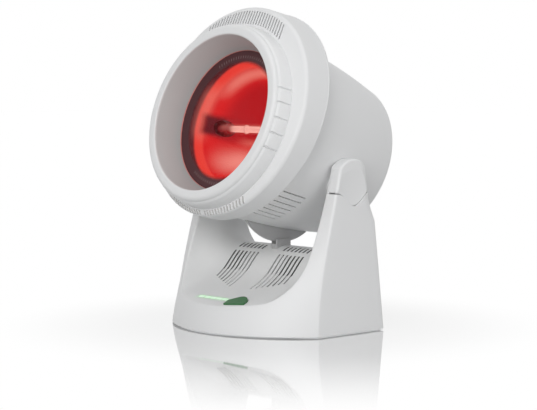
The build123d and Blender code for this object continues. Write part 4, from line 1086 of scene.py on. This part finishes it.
@dataclass
class FrontRing:
    """The head's front ring: rounded rim, tapering band with grip notches, skirt and funnel."""

    opening: float = 70.0
    front: float = 101.3
    opening_round: float = 1.4
    rim: float = 79.4
    rim_round: float = 3.7
    mouth_turn: Span = (168.0, 90.0)
    mouth_steps: int = 5
    rim_turn: Span = (90.0, 8.0)
    rim_steps: int = 10
    ledge: float = 0.3
    step_length: float = 1.7
    step_curve: float = 1.4
    step_shares: tuple[float, ...] = (0.3, 0.5, 0.7, 0.85, 0.95, 1.05)
    band_front: float = 81.0
    band_rear: float = 82.6
    band_rear_s: float = 84.4
    wall: float = 2.6
    skirt: float = 5.0
    funnel_rear: float = 63.4
    funnel_rear_wall: float = 3.6
    glass_s: float = 75.0
    sides: int = 180
    smooth: float = 32.0
    notch_angles: tuple[float, ...] = (17.0, 8.0, -1.5, -11.0, -20.3)
    notch_s: Span = (83.6, 98.4)
    notch_radii: Span = (1.0, 2.6)
    notch_narrow: float = 0.42
    notch_sides: int = 20

    def build(self) -> None:
        """Makes the ring."""
        skirt_r = self.band_rear - self.wall
        rise = self.front - 2 * self.wall
        ledge_s = self.front - self.rim_round
        mouth = arc((self.opening + self.opening_round, self.front - self.opening_round), self.opening_round,
                    *self.mouth_turn, self.mouth_steps)
        shoulder = arc((self.rim - self.rim_round, ledge_s), self.rim_round, *self.rim_turn, self.rim_steps)
        step = [(self.rim + (self.band_front - self.rim) * share,
                 ledge_s - self.ledge - self.step_length * share ** self.step_curve)
                for share in self.step_shares]
        ring = Bench.lathe("front_ring", [
            (self.funnel_rear, self.glass_s), (self.funnel_rear + 0.1, self.glass_s + 0.4), *mouth, *shoulder,
            (self.rim + 0.15, ledge_s - self.ledge), *step, (self.band_rear - 0.1, self.band_rear_s + 0.7),
            (self.band_rear - 0.1, self.band_rear_s + 0.2), (self.band_rear - 0.4, self.band_rear_s),
            (skirt_r, self.band_rear_s), (skirt_r, self.band_rear_s - self.skirt),
            (skirt_r - self.wall, self.band_rear_s - self.skirt), (skirt_r - self.wall, rise),
            (self.opening + self.wall, rise), (self.funnel_rear + self.funnel_rear_wall, self.glass_s),
        ], self.sides, closed=True)
        Bench.carve(ring, self.cutters())
        Bench.settle(ring, self.smooth, HEAD)
        dress(ring, "head", Slot.white_housing, "front_collar")

    def cutters(self) -> Piece:
        """The tapering cutters of the grip notches, on both sides.

        Returns:
            The cutters as one piece.
        """
        low, high = self.notch_s
        lean = math.atan2(self.band_rear - self.band_front, self.front - self.rim_round - self.band_rear_s)
        Bench.clear()
        bpy.ops.mesh.primitive_cone_add(
            vertices=self.notch_sides, radius1=self.notch_radii[0] * MM, radius2=self.notch_radii[1] * MM,
            depth=(high - low) * MM, rotation=(0.0, -lean, 0.0), scale=(1.0, self.notch_narrow, 1.0),
            location=((self.band_front + self.band_rear) / 2 * MM, 0.0, (low + high) / 2 * MM))
        right = [math.radians(angle) for angle in self.notch_angles]
        turns = [turn for angle in right for turn in (angle, math.pi - angle)]
        return Bench.repeat(bpy.context.object, [Matrix.Rotation(turn, 4, "Z") for turn in turns])


@dataclass
class Lamp:
    """The lamp: dimpled reflector bowl, quartz tube, and the coiled wire on its support rings."""

    lamp_s: float = 44.3
    bowl_radius: float = 61.0
    bowl_depth: float = 45.0
    bowl_front: float = 68.6
    flange: float = 70.0
    sheet: float = 0.8
    bowl_sides: int = 240
    bowl_steps: int = 60
    bowl_middle: float = 2.4
    bowl_plain: float = 1.5
    bowl_weld: float = 0.03
    dimple: float = 2.6
    dimple_depth: float = 0.35
    gate: float = 7.5
    tube: float = 5.0
    tube_wall: float = 0.9
    tube_half: float = 57.0
    tube_sides: int = 48
    tube_weld: float = 0.13
    coil: float = 2.5
    wire: float = 0.38
    coil_half: float = 48.0
    coil_pitch: float = 1.5
    coil_sides: int = 8
    coil_steps: int = 20
    coil_weld: float = 0.002
    supports: tuple[float, ...] = (-36.0, -12.0, 12.0, 36.0)
    smooth: float = 40.0
    coil_smooth: float = 50.0

    def middle(self) -> Matrix:
        """The middle of the tube, in the head's directions."""
        return HEAD @ Matrix.Translation((0.0, 0.0, self.lamp_s * MM))

    def build(self) -> None:
        """Makes the three pieces."""
        self.bowl()
        self.glass_tube()
        self.element()

    def bowl(self) -> None:
        """Makes the bowl, its dimples and the openings for the tube's ends."""
        reach = self.bowl_radius - self.bowl_middle
        radii = [self.bowl_radius - reach * step / self.bowl_steps for step in range(self.bowl_steps + 1)]
        radii.append(0.01)
        curve = [(radius, self.bowl_front - self.bowl_depth * (1.0 - (radius / self.bowl_radius) ** 2))
                 for radius in radii]
        bowl = Bench.lathe("reflector_bowl", [
            (self.flange, self.bowl_front), (self.bowl_radius + 4.0, self.bowl_front),
            (self.bowl_radius + 0.6, self.bowl_front - 0.05), *curve], self.bowl_sides)
        Bench.weld(bowl, self.bowl_weld)
        dimples = bpy.data.textures.new("reflector_dimples", "VORONOI")
        dimples.noise_scale = self.dimple * MM
        group = bowl.vertex_groups.new(name="dished")
        inner = self.bowl_radius - self.bowl_plain
        dished = [vertex.index for vertex in bowl.data.vertices if vertex.co.xy.length < inner * MM]
        group.add(dished, 1.0, "REPLACE")
        Bench.modify(bowl, "DISPLACE", texture=dimples, strength=self.dimple_depth * MM,
                     texture_coords="LOCAL", vertex_group="dished")
        Bench.modify(bowl, "SOLIDIFY", thickness=self.sheet * MM, offset=-1.0)
        Bench.clear()
        bpy.ops.mesh.primitive_cylinder_add(
            vertices=self.tube_sides, radius=self.gate * MM, depth=2.0 * self.flange * MM,
            location=(0.0, 0.0, self.lamp_s * MM), rotation=(0.0, math.pi / 2, 0.0))
        Bench.carve(bowl, bpy.context.object)
        Bench.settle(bowl, self.smooth, HEAD)
        dress(bowl, "head", Slot.reflector_metal, "reflector")

    def glass_tube(self) -> None:
        """Makes the tube with its drawn-in, sealed ends."""
        half, radius = self.tube_half, self.tube
        end = [(0.06, half), (1.6, half), (2.3, half - 0.4), (2.6, half - 1.4), (2.7, half - 4.0),
               (3.4, half - 6.0), (4.4, half - 7.4), (radius, half - 8.6)]
        stations = [(wide, -high) for wide, high in end] + [
            (radius, place) for place in (-36.0, -18.0, 0.0, 18.0, 36.0)] + end[::-1]
        tube = Bench.lathe("quartz_tube", stations, self.tube_sides)
        Bench.weld(tube, self.tube_weld)
        Bench.settle(tube, self.smooth, self.middle() @ ACROSS)
        dress(tube, "head", Slot.quartz, "lamp_tube")

    def element(self) -> None:
        """Makes the coiled wire and the rings that carry it."""
        Bench.clear()
        bpy.ops.mesh.primitive_circle_add(vertices=self.coil_sides, radius=self.wire * MM, fill_type="NGON",
                                          location=(-self.coil_half * MM, self.coil * MM, 0.0))
        coil = bpy.context.object
        coil.name = "heating_coil"
        bpy.ops.object.transform_apply(location=True, rotation=False, scale=False)
        Bench.modify(coil, "SCREW", axis="X", angle=2.0 * math.pi, screw_offset=self.coil_pitch * MM,
                     iterations=int(2.0 * self.coil_half / self.coil_pitch), steps=self.coil_steps,
                     render_steps=self.coil_steps)
        Bench.weld(coil, self.coil_weld)
        inner, outer = self.coil + self.wire + 0.05, self.tube - self.tube_wall - 0.1
        ring = Bench.lathe("support_ring", [
            (inner, -0.25), (inner + 0.15, -0.4), (outer - 0.15, -0.4), (outer, -0.25), (outer, 0.25),
            (outer - 0.15, 0.4), (inner + 0.15, 0.4), (inner, 0.25)], 36, closed=True)
        places = [Matrix.Translation((place * MM, 0.0, 0.0)) @ ACROSS for place in self.supports]
        coil = Bench.join([coil, Bench.repeat(ring, places)])
        Bench.settle(coil, self.coil_smooth, self.middle())
        dress(coil, "head", Slot.tungsten, "heating_element")


def dress_frame() -> None:
    """Gives each CAD piece its finish."""
    for part in frame["record"]["subparts"]:
        piece, slot = frame["nodes"][part["node"]], Slot[part["material_slot"]]
        if not piece.material_slots:
            piece.data.materials.append(slot.material)
        for place in piece.material_slots:
            place.material = slot.material
        LOG.info("dressed %s in %s", piece.name, slot.name)


def main() -> None:
    """Builds the pieces, dresses them and sets up the studio."""
    logging.basicConfig(level=logging.INFO, format="%(name)s: %(message)s")
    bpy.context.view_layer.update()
    Bench.clear()
    dress_frame()
    for assembly in (BaseHousing(), FrontRing(), Lamp()):
        LOG.info("building the %s", type(assembly).__name__)
        assembly.build()
    Studio().build()


if __name__ == "__main__":
    main()
